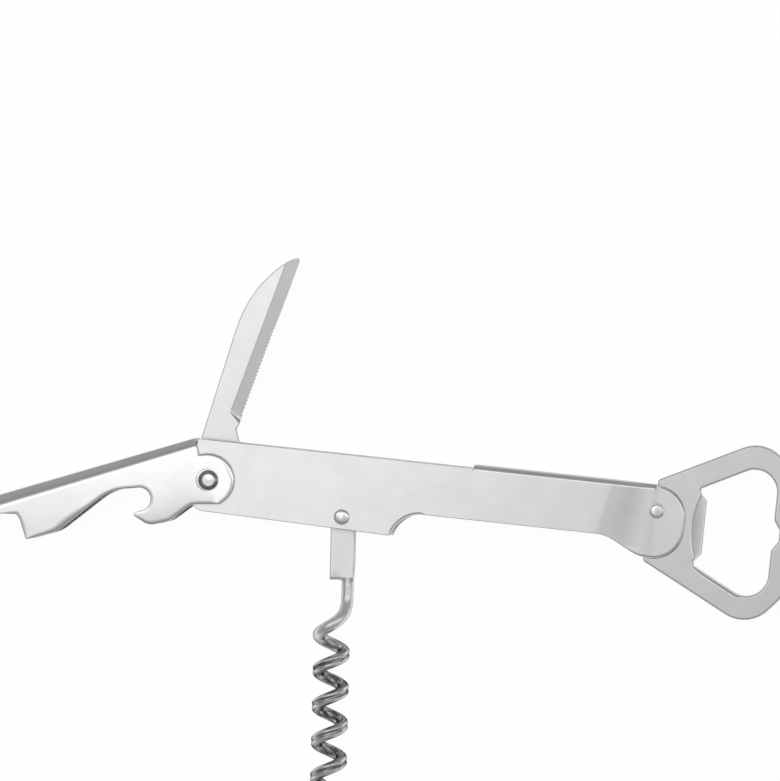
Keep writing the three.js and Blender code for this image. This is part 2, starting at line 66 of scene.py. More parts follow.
# %% [markdown]
# ## Units and places
#
# Blender works in metres, and the opener was measured in millimetres. The mesh code below stays in
# millimetres and scales each mesh once, when it is written. Every piece is drawn in its own place, lying
# straight, and is then turned to the angle at which it stands open.

# %% Places of the pieces
MM = 0.001
MIDDLE = 8.2
MAIN_RIVET = (0, 0)
WORM_PIN = (32.9, -5.4)
OPENER_RIVET = (107.5, 4.1)
LEVER_ANGLE = 21.8
KNIFE_ANGLE = -14.4
WORM_ANGLE = 4.7


def put_in_place(points, place=MAIN_RIVET, degrees=0):
    """Points of a piece drawn round its own pivot, in millimetres, as metres in the shared frame."""
    turn = Matrix.Rotation(math.radians(degrees), 3, "Z")
    turned = np.asarray(points, float) @ np.array(turn).T
    return (turned + [place[0], place[1], MIDDLE]) * MM


print("the handle's middle plane lies", MIDDLE, "mm above the table")

# %% [markdown]
# ## Outlines
#
# A stamped sheet is a flat outline with rounded corners. An outline is written as its corners, each with
# the radius of its fillet, and the points are made from them. Long sides are cut into short steps as
# well, so that a flat outline can be bent round a fold later without showing corners.

# %% Points along arcs and rounded runs
STEP, ARC_STEP, LEAST_PER_RADIAN = 0.8, 0.35, 5
SAME_POINT, TINY, MOST_OF_SIDE = 1e-4, 1e-9, 0.98


def length_of(vectors):
    """The lengths of rows of vectors, as a column to divide them by."""
    return np.linalg.norm(vectors, axis=1)[:, None]


def arc(centre, radius, start, sweep):
    """Points along an arc in degrees, both ends included."""
    steps = max(3, math.ceil(abs(math.radians(sweep)) * max(radius / ARC_STEP, LEAST_PER_RADIAN)))
    angles = np.radians(start + sweep * np.arange(steps + 1) / steps)
    return np.stack([centre[0] + radius * np.cos(angles), centre[1] + radius * np.sin(angles)], 1)


def ring_of(centre, radius):
    return arc(centre, radius, 0, 360)[1:]


def rounded_run(corners):
    """An open run through corners (x, y, radius). Its first and last points stay sharp."""
    points = [np.array(c[:2], float) for c in corners]
    radii = [0, *[c[2] if len(c) > 2 else 0 for c in corners[1:-1]], 0]
    turns, setbacks = [0] * len(points), [0] * len(points)
    for i in range(1, len(points) - 1):
        a, b = points[i] - points[i - 1], points[i + 1] - points[i]
        turns[i] = math.atan2(a[0] * b[1] - a[1] * b[0], a @ b)
        setbacks[i] = radii[i] * abs(math.tan(turns[i] / 2))
    for i in range(len(points) - 1):
        room = MOST_OF_SIDE * np.linalg.norm(points[i + 1] - points[i])
        share = min(1, room / max(setbacks[i] + setbacks[i + 1], TINY))
        for j in (i, i + 1):
            radii[j] *= share if setbacks[j] else 1
            setbacks[j] *= share
    made = []
    for i, point in enumerate(points):
        if not setbacks[i]:
            made.append([point])
            continue
        inward = (point - points[i - 1]) / np.linalg.norm(point - points[i - 1])
        normal = np.array([-inward[1], inward[0]]) * np.sign(turns[i])
        centre = point - inward * setbacks[i] + normal * radii[i]
        start = math.degrees(math.atan2(-normal[1], -normal[0]))
        made.append(arc(centre, radii[i], start, math.degrees(turns[i])))
    return np.concatenate(made)


def closely(points, closed=True, step=STEP):
    """The same outline with no side longer than the step, and no doubled points."""
    points = np.asarray(points, float)
    ends = np.roll(points, -1, 0) if closed else points[1:]
    made = []
    for a, b in zip(points, ends):
        count = math.ceil(np.linalg.norm(b - a) / step)
        made += [a + (b - a) * k / count for k in range(count)]
    if not closed:
        made.append(points[-1])
    made = np.array(made)
    return made[length_of(made - np.roll(made, 1, 0))[:, 0] > SAME_POINT]


def signed_area(loop):
    x, y = loop[:, 0], loop[:, 1]
    return (x * np.roll(y, -1) - y * np.roll(x, -1)).sum() / 2


print("a quarter circle of 7.4 mm has", len(arc((0, 0), 7.4, 0, 90)), "points")

# %% [markdown]
# ## Rolled edges
#
# All the flat and folded pieces are one sheet of steel with rolled edges, so one builder makes them. It
# fills the flat outline with triangles, lays one copy on each face of the sheet, and closes the edge with
# rows of faces that round it over. Where the sheet bends, a small function says where each flat point
# goes. A Bevel modifier could round the edges too, but not of a face with hundreds of sides.
#
# The first step is the roll: how its rows are spaced, and how far in it may reach where the steel is
# narrow.

# %% The roll of an edge
# Each row of a roll: how far out it lies, as a share, and its tilt in degrees.
ROUND_EDGE = [(0, 0), (0.38, 22.5), (0.71, 45), (0.92, 67.5), (1, 90)]
SOFT_EDGE = [(0, 0), (0.35, 4), (0.6, 9), (0.78, 16), (0.9, 28), (1, 50)]
STEEPEST = 78
SHARPEST_MITRE, ROOM_SHARE, WIDE, AHEAD = 0.4, 0.85, 99, 1e-4
EVENING_ROUNDS, SHRINKING_ROUNDS, LEAST_SIDE, SHRINK = 3, 60, 0.04, 0.8


def edge_rows(shape):
    """For each row: how far out it lies and its drop, both as shares, and its tilt. Then the whole drop."""
    drops = [0.0]
    for (out_a, tilt_a), (out_b, tilt_b) in zip(shape, shape[1:]):
        middle = math.radians(min((tilt_a + tilt_b) / 2, STEEPEST))
        drops.append(drops[-1] + (out_b - out_a) * math.tan(middle))
    rows = [(out, drop / drops[-1], math.radians(tilt)) for (out, tilt), drop in zip(shape, drops)]
    return rows, drops[-1]


def inward_normals(loop):
    """For each point of a loop with the steel on its left, the way into the steel."""
    a, b = loop - np.roll(loop, 1, 0), np.roll(loop, -1, 0) - loop
    left_a, left_b = (np.stack([-v[:, 1], v[:, 0]], 1) / length_of(v) for v in (a, b))
    share = np.maximum(1 + (left_a * left_b).sum(1), SHARPEST_MITRE)
    return (left_a + left_b) / share[:, None]


def fitting_inset(loop, inset, loops):
    """The inset, made smaller where a corner or a narrow place leaves less room. The room at a point is
    the least circle that touches it and another point."""
    normals = inward_normals(loop)
    apart = np.concatenate(loops)[None] - loop[:, None]
    ahead = (apart * normals[:, None]).sum(-1)
    touching = np.where(ahead > AHEAD, (apart**2).sum(-1) / (2 * np.maximum(ahead, AHEAD)), WIDE)
    inset = np.minimum(inset, ROOM_SHARE * touching.min(1))
    for _ in range(EVENING_ROUNDS):
        inset = np.minimum(inset, (np.roll(inset, 1) + inset + np.roll(inset, -1)) / 3)
    side = np.roll(loop, -1, 0) - loop
    for _ in range(SHRINKING_ROUNDS):
        moved = loop + normals * inset[:, None]
        turned = ((np.roll(moved, -1, 0) - moved) * side).sum(1) < LEAST_SIDE * (side**2).sum(1)
        if not turned.any():
            break
        inset[turned | np.roll(turned, 1) | np.roll(turned, -1)] *= SHRINK
    return inset


print("a round edge has", len(ROUND_EDGE), "rows and a soft edge", len(SOFT_EDGE))

# %% [markdown]
# ## Filling an outline
#
# A sheet's face is filled by a constrained Delaunay triangulation, which keeps the outline and any crease
# lines as edges. Where the sheet will bend, a grid of extra points gives it small triangles to bend with.

# %% Filling the face
GRID_CLEAR, SAME_IN_FILL = 0.35, 1e-6


def is_inside(points, loops):
    """Whether each point lies in the steel, by counting crossings of every loop."""
    inside = np.zeros(len(points), bool)
    for loop in loops:
        for (ax, ay), (bx, by) in zip(loop, np.roll(loop, -1, 0)):
            if ay == by:
                continue
            crosses = (ay > points[:, 1]) != (by > points[:, 1])
            x = ax + (points[:, 1] - ay) * (bx - ax) / (by - ay)
            inside ^= crosses & (points[:, 0] < x)
    return inside


def fill(loops, extra, creases):
    """Triangles over a flat outline with holes, using extra inner points and crease lines, and the
    places of the outline's own points."""
    points, edges = [], []
    for loop in loops:
        start = len(points)
        points += [tuple(p) for p in loop]
        edges += [(start + i, start + (i + 1) % len(loop)) for i in range(len(loop))]
    border = len(points)
    for line in creases:
        start = len(points)
        points += [tuple(p) for p in line]
        edges += [(start + i, start + i + 1) for i in range(len(line) - 1)]
    points += [tuple(p) for p in extra]
    made, _, faces, origin, _, _ = delaunay_2d_cdt([Vector(p) for p in points], edges, [], 0, SAME_IN_FILL)
    made, faces = np.array([tuple(p) for p in made]), np.array(faces)
    place = {old: new for new, olds in enumerate(origin) for old in olds}
    faces = faces[is_inside(made[faces].mean(1), loops)]
    return made, faces, [place[i] for i in range(border)]


def grid_points(loops, spacing, low, high):
    """Points of a grid that lie in the steel, clear of its edges."""
    x = np.arange(low[0], high[0] + TINY, spacing[0])
    y = np.arange(low[1], high[1] + TINY, spacing[1])
    points = np.stack(np.meshgrid(x, y), -1).reshape(-1, 2)
    gap = np.sqrt(((points[:, None] - np.concatenate(loops)[None]) ** 2).sum(-1)).min(1)
    points = points[gap > GRID_CLEAR]
    return points[is_inside(points, loops)]


square = np.array([(0, 0), (2, 0), (2, 1), (0, 1)], float)
print("a plain rectangle is filled with", len(fill([square], [], [])[1]), "triangles")

# %% [markdown]
# ## The builder of sheets
#
# The shading normals are worked out from the placing function, by looking at it a small step to each
# side. So flat faces stay flat beside a rounded edge, and a bend shades as smoothly as a true surface.

# %% The faces and the edges of a sheet
FACING_STEP, EDGE_STEP, TOWARDS_MIDDLE = 0.004, 0.01, 0.03
FIRST_DROP, SECOND_DROP = 0.7, 0.25


def facing(place, points, share):
    """The way out of the sheet's first face at flat points, worked out from small steps."""
    right, left = points + [FACING_STEP, 0], points - [FACING_STEP, 0]
    up, down = points + [0, FACING_STEP], points - [0, FACING_STEP]
    normals = np.cross(place(right, share) - place(left, share), place(up, share) - place(down, share))
    whole = np.ones(len(points))
    outward = place(points, 0 * whole) - place(points, whole)
    normals *= np.sign((normals * outward).sum(1))[:, None]
    return normals / length_of(normals)


def sheet_face(loops, normals, insets, extra, creases, place, share):
    """One face of a sheet: its points, its triangles with their corners' normals, and its border."""
    inner = [loop + n * inset[:, None] for loop, n, inset in zip(loops, normals, insets)]
    flat, triangles, border = fill(inner, extra, creases)
    middles = flat[triangles].mean(1)
    corners = [flat[triangles[:, k]] * (1 - TOWARDS_MIDDLE) + middles * TOWARDS_MIDDLE for k in range(3)]
    outward = 1 - 2 * share
    shades = np.stack([outward * facing(place, c, np.full(len(c), share)) for c in corners], 1)
    if outward < 0:
        triangles, shades = triangles[:, ::-1], shades[:, ::-1]
    return place(flat, np.full(len(flat), share)), triangles, shades.reshape(-1, 3), border


def rolled_edge(loop, normals, first, second, deep, shape, place):
    """The rows of an edge, from the first face to the second: points, normals and wear."""
    rolled, slope = edge_rows(shape)
    drop = np.minimum(slope * first, FIRST_DROP * deep)
    rows = [(first * (1 - out), drop * down / deep, tilt, 1) for out, down, tilt in rolled]
    rolled, slope = edge_rows(ROUND_EDGE)
    drop = np.minimum(slope * second, SECOND_DROP * deep)
    rows += [(second * (1 - out), 1 - drop * down / deep, tilt, -1) for out, down, tilt in rolled[::-1]]
    made = []
    for inset, share, tilt, outward in rows:
        flat = loop + normals * inset[:, None]
        points = place(flat, share)
        along = np.roll(points, -1, 0) - np.roll(points, 1, 0)
        along /= length_of(along)
        out = place(flat - normals * EDGE_STEP, share) - place(flat + normals * EDGE_STEP, share)
        out -= along * (out * along).sum(1)[:, None]
        out /= length_of(out)
        face = outward * facing(place, flat, share)
        made.append((points, face * math.cos(tilt) + out * math.sin(tilt), math.sin(tilt)))
    return made


print("a sheet's second face is rolled less deep:", SECOND_DROP, "against", FIRST_DROP)

# %% The sheet builder


def write_mesh(name, vertices, faces, shades):
    """A mesh object from points in the shared frame, with its faces turned outwards."""
    volume = sum(vertices[f[0]] @ np.cross(vertices[f[k]], vertices[f[k + 1]])
                 for f in faces for k in range(1, len(f) - 1))
    counts = [len(f) for f in faces]
    if volume < 0:
        starts = np.cumsum([0, *counts[:-1]])
        faces = [(f[0], *f[:0:-1]) for f in faces]
        shades = shades[np.concatenate([[s, *range(s + n - 1, s, -1)] for s, n in zip(starts, counts)])]
    mesh = bpy.data.meshes.new(name)
    mesh.from_pydata(vertices.tolist(), [], [tuple(map(int, f)) for f in faces])
    mesh.shade_smooth()
    mesh.normals_split_custom_set(shades.tolist())
    made = bpy.data.objects.new(name, mesh)
    bpy.context.scene.collection.objects.link(made)
    flat = np.repeat([p.normal for p in mesh.polygons], counts, 0)
    odd = int(((shades * flat).sum(1) < 0).sum())
    print(f"{name}: {len(faces)} faces, {abs(volume) / 6 * 1e6:.2f} cubic centimetres, {odd} odd corners")
    return made


def as_values(value, loop):
    """One value for each point of a loop, from a number or a function."""
    return value(loop) if callable(value) else np.full(len(loop), float(value))


def sheet_piece(name, loops, place, thickness, edge, shape=ROUND_EDGE, grid=None, creases=(),
                back_edge=0.12):
    """A sheet between two faces. place(points, share) gives a flat point's place, share 0 on the first
    face and 1 on the second. edge is how far in the first face's edge is rolled, and shape is the roll.
    The mesh's edge attribute is 0 on both faces and rises to 1 on the edge."""
    loops = [closely(loop) for loop in loops]
    loops = [loop if (signed_area(loop) > 0) == (i == 0) else loop[::-1] for i, loop in enumerate(loops)]
    normals = [inward_normals(loop) for loop in loops]
    insets = [[fitting_inset(loop, as_values(value, loop), loops) for loop in loops]
              for value in (edge, back_edge)]
    extra = grid_points(loops, *grid) if grid else np.zeros((0, 2))
    vertices, faces, shades, worn, borders = [], [], [], [], []
    for share in (0, 1):
        points, triangles, face_shades, border = sheet_face(
            loops, normals, insets[share], extra, creases, place, float(share))
        borders.append([len(worn) + b for b in border])
        faces += [tuple(len(worn) + t) for t in triangles]
        vertices.append(points)
        shades.append(face_shades)
        worn += [0.0] * len(points)
    done = 0
    for loop, inward, first, second in zip(loops, normals, *insets):
        count = len(loop)
        rows = rolled_edge(loop, inward, first, second, as_values(thickness, loop), shape, place)
        rings = [borders[0][done:done + count]]
        for points, _, wear in rows[1:-1]:
            rings.append(range(len(worn), len(worn) + count))
            vertices.append(points)
            worn += [wear] * count
        rings.append(borders[1][done:done + count])
        for upper, lower, (_, above, _), (_, below, _) in zip(rings, rings[1:], rows, rows[1:]):
            for i in range(count):
                j = (i + 1) % count
                faces.append((upper[j], upper[i], lower[i], lower[j]))
                shades.append([above[j], above[i], below[i], below[j]])
        done += count
    made = write_mesh(name, np.concatenate(vertices), faces, np.concatenate(shades))
    made.data.attributes.new("edge", "FLOAT", "POINT").data.foreach_set("value", worn)
    return made


print("the sheet builder is ready")

# %% [markdown]
# ## Folding a sheet
#
# The handle and the lever are each one sheet, folded over two long bends. Their flat outline is drawn
# unrolled: along the piece on one axis, and round the section on the other, from one wall's edge over the
# folded back to the other wall's edge. The folding function then rolls it up. A Simple Deform modifier
# bends round one radius only, and these pressed bends are flatter in the middle than at their ends.

# %% The folding function
BEND_ROWS, BACK_ROWS, ROW_STEP = 10, 6, 0.5
ROUND = 2 * BEND_ROWS + BACK_ROWS
PROFILE_POINTS, SOFTENED = 600, 25


def bend_profile(places, degrees):
    """A bend's outside from how far it leans at each place: its rise and its run across, for a rise of 1."""
    turn = np.linspace(0, 1, PROFILE_POINTS)
    lean = np.radians(np.interp(turn, places, degrees))
    width = 2 * SOFTENED + 1
    soft = np.convolve(np.pad(lean, SOFTENED, "edge"), np.ones(width) / width, "valid")
    rise, across = np.cumsum(np.cos(soft)), np.cumsum(np.sin(soft))
    return turn, (rise - rise[0]) / (rise[-1] - rise[0]), (across - across[0]) / (rise[-1] - rise[0])


TIGHT_BEND = bend_profile([0, 0.25, 0.5, 0.84, 0.92, 1], [0, 17, 30, 38, 70, 90])
PRESSED_BEND = bend_profile([0, 0.2, 0.42, 0.5, 0.6, 0.66, 0.88, 0.93, 1],
                            [0, 13, 25, 31, 38, 34, 37, 75, 90])


def folded(points, share, half, back, bend, sheet, profile, unfolded=False):
    """Where points of an unrolled channel go. half, back and bend are the section's sizes there."""
    row = points[:, 1]
    mirrored = row > ROUND / 2
    row = np.where(mirrored, ROUND - row, row)
    flat = (row <= 0) | unfolded
    turn = np.clip(row / BEND_ROWS, 0, 1)
    outer_rise = bend * np.interp(turn, profile[0], profile[1])
    outer_across = half - bend * np.interp(turn, profile[0], profile[2])
    inner_rise = (bend - sheet) * np.sin(turn * math.pi / 2)
    inner_across = half - bend + (bend - sheet) * np.cos(turn * math.pi / 2)
    rise = np.where(flat, row, outer_rise * (1 - share) + inner_rise * share) + back - bend
    across = np.where(flat, half - share * sheet, outer_across * (1 - share) + inner_across * share)
    over = np.clip((row - BEND_ROWS) / BACK_ROWS, 0, 1)
    outer_half, inner_half = half - bend * profile[2][-1], half - bend
    across -= np.where(flat, 0, 2 * over * (outer_half * (1 - share) + inner_half * share))
    return rise, np.where(mirrored, -across, across)


def across_back(end, last):
    """Points over the folded back at one end of the piece, where both walls' runs end at a row."""
    rows = np.arange(ROW_STEP, ROUND, ROW_STEP)
    rows = rows[(rows > last + ROW_STEP / 2) & (rows < ROUND - last - ROW_STEP / 2)]
    return np.stack([np.full(len(rows), end), rows], 1)


def unrolled(wall, ends):
    """The whole flat outline from one wall's run, which starts and ends at the fold, and the places of
    the back's two ends along the piece."""
    near = closely(wall, closed=False)
    far = near[::-1] * [1, -1] + [0, ROUND]
    front, rear = across_back(ends[1], near[-1, 1]), across_back(ends[0], near[0, 1])
    return np.concatenate([near, front, far, rear[::-1]])


def both_walls(loop):
    """A hole's outline in the near wall, and its mirror image in the far wall."""
    return [loop, loop * [1, -1] + [0, ROUND]]


print("a channel is unrolled over", ROUND, "rows")

# %% [markdown]
# ## The handle
#
# The handle is a channel of 1 mm sheet. Its folded back is open for the knife along the first half, and
# its walls come together at the far end, where they hold the cap opener between two round lobes. The
# half-round notch in its lower edge clears the worm. Three Booleans on a bent box could cut the same
# shape, but its outline is easier to read off, and to change, as the flat blank that a press would stamp.

# %% The handle's sizes and outline
HANDLE_HALF, HANDLE_SHEET, HANDLE_BACK, HANDLE_BEND, WALL_TOP = 5.7, 1, 10.4, 1.35, 9.6
HANDLE_FOLD = HANDLE_BACK - HANDLE_BEND
HANDLE_REAR, REAR_LOW, REAR_CORNER, REAR_TOP_CORNER = -3.5, -7.5, 3, 0.8
NOTCH_START, NOTCH_LOW, NOTCH_RADIUS = 44.8, -8.6, 7.6
SHAFT_LOW, SHAFT_END, SHAFT_CORNER, HEEL_SLOPE, HEEL_CORNER = -2.8, 96, 10, 28.4, 9
LOBE_RADIUS, LOBE_END, LOBE_LOW, LOBE_TOP = 7.4, 114.4, -7.4, 10.15
PINCHED_HALF, PINCH_START, PINCH_END, PINCH_SLANT, PINCH_LEVEL = 2.15, 93.5, 108, 0.24, -9
SLOT_END, SPINE_END, RELIEF, RELIEF_CORNER, RELIEF_STEP = 63.1, 106.65, 0.12, 0.15, 0.05
SIDE_ROLL, LOBE_ROLL, NOTCH_ROLL, CUT_ROLL = 0.2, 0.8, 0.7, 0.06
LOBE_ROLL_START, LOBE_ROLL_RUN, NOTCH_FROM, NOTCH_TO, NOTCH_ROW = 100, 6, 44.5, 52.6, -4
NEAR_CUT, WALL_DEPTH, ON_SPINE = 0.6, 14, 0.02


def handle_wall():
    """The near wall's edge, from the slot's end round the handle to the end of the folded back."""
    fall = NOTCH_RADIUS + NOTCH_LOW - SHAFT_LOW
    run = math.sqrt(NOTCH_RADIUS**2 - fall**2)
    foot = math.degrees(math.atan2(fall, -run))
    notch = arc((NOTCH_START + run, SHAFT_LOW - NOTCH_RADIUS), NOTCH_RADIUS, foot, 90 - foot)
    heel = SHAFT_END + (SHAFT_LOW - LOBE_LOW) / math.tan(math.radians(HEEL_SLOPE))
    step = HANDLE_FOLD - RELIEF_STEP
    rear = rounded_run([
        (SLOT_END, HANDLE_FOLD), (SLOT_END, step), (SLOT_END - RELIEF, step),
        (SLOT_END - RELIEF, WALL_TOP, RELIEF_CORNER), (HANDLE_REAR, WALL_TOP, REAR_TOP_CORNER),
        (HANDLE_REAR, REAR_LOW, REAR_CORNER), tuple(notch[0]),
    ])
    front = rounded_run([
        tuple(notch[-1]), (SHAFT_END, SHAFT_LOW, SHAFT_CORNER), (heel, LOBE_LOW, HEEL_CORNER),
        (LOBE_END, LOBE_LOW, LOBE_RADIUS), (LOBE_END, LOBE_TOP, LOBE_RADIUS),
        (SPINE_END + RELIEF, LOBE_TOP, RELIEF_CORNER), (SPINE_END + RELIEF, step), (SPINE_END, step),
        (SPINE_END, HANDLE_FOLD),
    ])
    return np.concatenate([rear[:-1], notch, front[1:]]) - [0, HANDLE_FOLD]


def handle_edge(loop):
    """How far in the edge is rolled: little along the sides, more round the lobes and in the notch."""
    along, row = loop[:, 0], np.minimum(loop[:, 1], ROUND - loop[:, 1])
    rolled = SIDE_ROLL + (LOBE_ROLL - SIDE_ROLL) * np.clip((along - LOBE_ROLL_START) / LOBE_ROLL_RUN, 0, 1)
    notch = (along > NOTCH_FROM) & (along < NOTCH_TO) & (row < NOTCH_ROW)
    cut = np.minimum(np.abs(along - SLOT_END), np.abs(along - SPINE_END)) < NEAR_CUT
    return np.where(cut & (row > -NEAR_CUT), CUT_ROLL, np.where(notch, NOTCH_ROLL, rolled))


def on_handle(points, share):
    """The walls come together in a soft double bend, which starts later low on the wall."""
    along, row = points[:, 0], np.minimum(points[:, 1], ROUND - points[:, 1])
    start = PINCH_START + PINCH_SLANT * (np.clip(row, -WALL_DEPTH, 0) - PINCH_LEVEL)
    eased = np.clip((along - start) / (PINCH_END - start), 0, 1)
    half = HANDLE_HALF + (PINCHED_HALF - HANDLE_HALF) * eased**3 * (10 - 15 * eased + 6 * eased**2)
    open_here = (along < SLOT_END - ON_SPINE) | (along > SPINE_END + ON_SPINE)
    rise, across = folded(
        points, share, half, HANDLE_BACK, HANDLE_BEND, HANDLE_SHEET, TIGHT_BEND, open_here)
    return put_in_place(np.stack([along, rise, across], 1))


print("the handle's wall has", len(closely(handle_wall(), closed=False)), "edge points")

# %% The handle
MAIN_BORE, WORM_BORE, OPENER_BORE = 1.63, 1.28, 1.08
HANDLE_GRID, GRID_START, GRID_PAST = (0.75, 0.5), 0.4, 0.6

holes = []
for centre, radius in ((MAIN_RIVET, MAIN_BORE), (WORM_PIN, WORM_BORE), (OPENER_RIVET, OPENER_BORE)):
    holes += both_walls(ring_of((centre[0], centre[1] - HANDLE_FOLD), radius))
handle = sheet_piece(
    "handle_sheet", [unrolled(handle_wall(), (SLOT_END, SPINE_END)), *holes], on_handle, HANDLE_SHEET,
    handle_edge, grid=(HANDLE_GRID, (SLOT_END + GRID_START, -WALL_DEPTH),
                       (PINCH_END + GRID_PAST, ROUND + WALL_DEPTH)))

# %% [markdown]
# ## The boot lever
#
# The lever is a second channel that folds over the handle. Its two cheeks carry the hook notch for the
# bottle's rim and the foot at the tip, and its round ears turn on the main rivet. It is folded by the same
# functions as the handle. Its cheeks are slightly domed by the press, which shows in what they mirror.

# %% The lever's outline
LEVER_REACH, LEVER_RISE, LEVER_TIP_RISE, TIP_EDGE = 57, 10.5, 10.1, 1
LEVER_BEND, LEVER_TIP_BEND, LEVER_HALF, LEVER_SHEET = 2.7, 3.7, 7.3, 1
LEVER_EAR, EAR_END, HOOK_ALONG, HOOK_RADIUS = 6.4, 261, 17, 2.75
BACK_GAP, BACK_LEVEL = 0.3, 9.5
LEVER_BACK_END = ((BACK_GAP - HANDLE_REAR - BACK_LEVEL * math.sin(math.radians(LEVER_ANGLE)))
                  / math.cos(math.radians(LEVER_ANGLE)))
# Corners as shares of the lever's reach and rise, each with its fillet's share.
BELLY = [(0.091, -0.438, 0.38), (0.202, -0.667, 0.48), (0.291, -0.638, 0.33), (0.348, -0.267, 0.05)]
SOLE = [(0.405, 0.383, 1.1), (0.667, -0.2, 0.76), (0.8035, -0.19, 0.05), (0.806, 0.305, 0.1),
        (0.814, 0.429, 0.03), (1, 0.686, 0.14)]


def lever_section(along):
    """The folded back's height and its bend's radius at places along the lever."""
    share = np.clip(along / LEVER_REACH, 0, 1)
    back = LEVER_RISE + (LEVER_TIP_RISE - LEVER_RISE) * share
    return back, LEVER_BEND + (LEVER_TIP_BEND - LEVER_BEND) * share


def lever_wall():
    """The near cheek's edge, from the folded back's start round the ear, the hook and the foot."""
    belly, sole = ([(x * LEVER_REACH, y * LEVER_RISE, r * LEVER_RISE) for x, y, r in run]
                   for run in (BELLY, SOLE))
    start = math.degrees(math.acos(LEVER_BACK_END / LEVER_EAR))
    ear = arc((0, 0), LEVER_EAR, start, EAR_END - start)
    hook = arc((HOOK_ALONG, 0), HOOK_RADIUS, -90, -180)
    belly = rounded_run([tuple(ear[-1]), *belly, (HOOK_ALONG, -HOOK_RADIUS)])
    sole = rounded_run([(HOOK_ALONG, HOOK_RADIUS), *sole, (LEVER_REACH, LEVER_TIP_RISE - TIP_EDGE)])
    back, bend = lever_section(LEVER_BACK_END)
    run = np.concatenate([[(LEVER_BACK_END, back - bend)], ear, belly[1:-1], hook, sole[1:]])
    back, bend = lever_section(run[:, 0])
    row = run[:, 1] - (back - bend)
    turn = np.interp(row / bend, PRESSED_BEND[1], PRESSED_BEND[0])
    return np.stack([run[:, 0], np.where(row > 0, BEND_ROWS * turn, row)], 1)


print("the lever's folded back starts", round(LEVER_BACK_END, 2), "mm from its pivot")

# %% The lever's cheeks and edges
DOME_SQUARE, DOME_CUBE, EDGE_FLARE, FLARE_FADE, EAR_FLAT = 0.001, 0.00012, 0.08, 4, 7
LEVER_ROLL, HEAVY_ROLL, BACK_ROLL, BORE_ROLL = 1, 1.2, 0.35, 0.25
FOOT_PLACE, FOOT_SPREAD, EAR_RUN, EAR_LOW, BORE_REACH, BACK_BAND = 35, 4.5, 3, -10, 2, -1.2
LEVER_GRID, LEVER_GRID_START = (1.5, 0.5), 0.8


def on_lever(points, share):
    """The folded channel, with its cheeks leaning in more the further they lie from the fold."""
    back, bend = lever_section(points[:, 0])
    rise, across = folded(points, share, LEVER_HALF, back, bend, LEVER_SHEET, PRESSED_BEND)
    below = np.clip(np.maximum(-points[:, 1], points[:, 1] - ROUND), 0, None)
    domed = DOME_SQUARE * below**2 + DOME_CUBE * below**3 - EDGE_FLARE * (1 - np.exp(-below / FLARE_FADE))
    domed = domed * np.clip(points[:, 0] / EAR_FLAT, 0, 1)
    across = np.sign(across) * (np.abs(across) - domed)
    return put_in_place(np.stack([-points[:, 0], rise, across], 1), MAIN_RIVET, LEVER_ANGLE)


def lever_edge(loop):
    """How far in the edge is rolled: all round, most beside the foot and the ear, and little along the
    bore and the back."""
    row = np.minimum(loop[:, 1], ROUND - loop[:, 1])
    bore = np.hypot(loop[:, 0], row + LEVER_RISE - LEVER_BEND) < BORE_REACH
    foot = np.exp(-(((loop[:, 0] - FOOT_PLACE) / FOOT_SPREAD) ** 2))
    ear = np.clip((EAR_RUN - loop[:, 0]) / EAR_RUN, 0, 1) * np.clip((row - EAR_LOW) / EAR_RUN, 0, 1)
    rolled = LEVER_ROLL + HEAVY_ROLL * np.maximum(foot, ear)
    return np.where(bore, BORE_ROLL, np.where(row > BACK_BAND, BACK_ROLL, rolled))


pivot_hole = ring_of((0, LEVER_BEND - LEVER_RISE), MAIN_BORE)
lever = sheet_piece(
    "lever_sheet", [unrolled(lever_wall(), (LEVER_BACK_END, LEVER_REACH)), *both_walls(pivot_hole)],
    on_lever, LEVER_SHEET, lever_edge, shape=SOFT_EDGE,
    grid=(LEVER_GRID, (LEVER_BACK_END + LEVER_GRID_START, -WALL_DEPTH),
          (LEVER_REACH, ROUND + WALL_DEPTH)))

# %% [markdown]
# ## The cap opener
#
# The cap opener is one flat loop of thicker plate. Its tang sits between the handle's lobes, and the near
# edge of its opening is bent back into a lip that catches under a crown cap. The sheet builder makes it
# too: its placing function lets the lip fall behind the plate, and crease lines give the bend its rows.

# %% The cap opener's outline
PLATE, LOOP_PLACE = 2.2, (107.5, 1.28)
LOOP_REACH, LOOP_ROOT, LOOP_FLARE, LOOP_RIM = 33.6, 21.1, 26.8, 5.6
PEAK_BACK, PEAK_CORNER, FAR_SLOPE, FAR_CORNER, FAR_INSIDE = 9.1, 8.3, 48.6, 12, 5.3
TANG_END, TANG_LOW, TANG_MIDDLE, TANG_GAP, NECK_TOP, NECK_LOW = -6.4, -3.5, -3.5, 0.3, -0.55, (-2.2, -7.6)
BUMP_HALF, BUMP_TOP, BUMP_REACH, BUMP_CORNER = 3.6, 1.3, 1.55, 0.9
LIP_CHORD, LIP_BULGE, LIP_PLACE, LIP_REACH, LIP_HALF, LIP_TAPER = 15.6, 1.65, 9.75, 3.5, 8.15, 1.7
LIP_RADIUS = ((LIP_CHORD / 2) ** 2 + LIP_BULGE**2) / (2 * LIP_BULGE)
LIP_START = LIP_PLACE - LIP_BULGE


def loop_rise(along, rim=0.0):
    """Half the loop's width at a place along it, or where a rim is given, half the opening's."""
    slope = math.radians(LOOP_FLARE)
    return LOOP_ROOT / 2 + along * math.tan(slope) - rim / math.cos(slope)


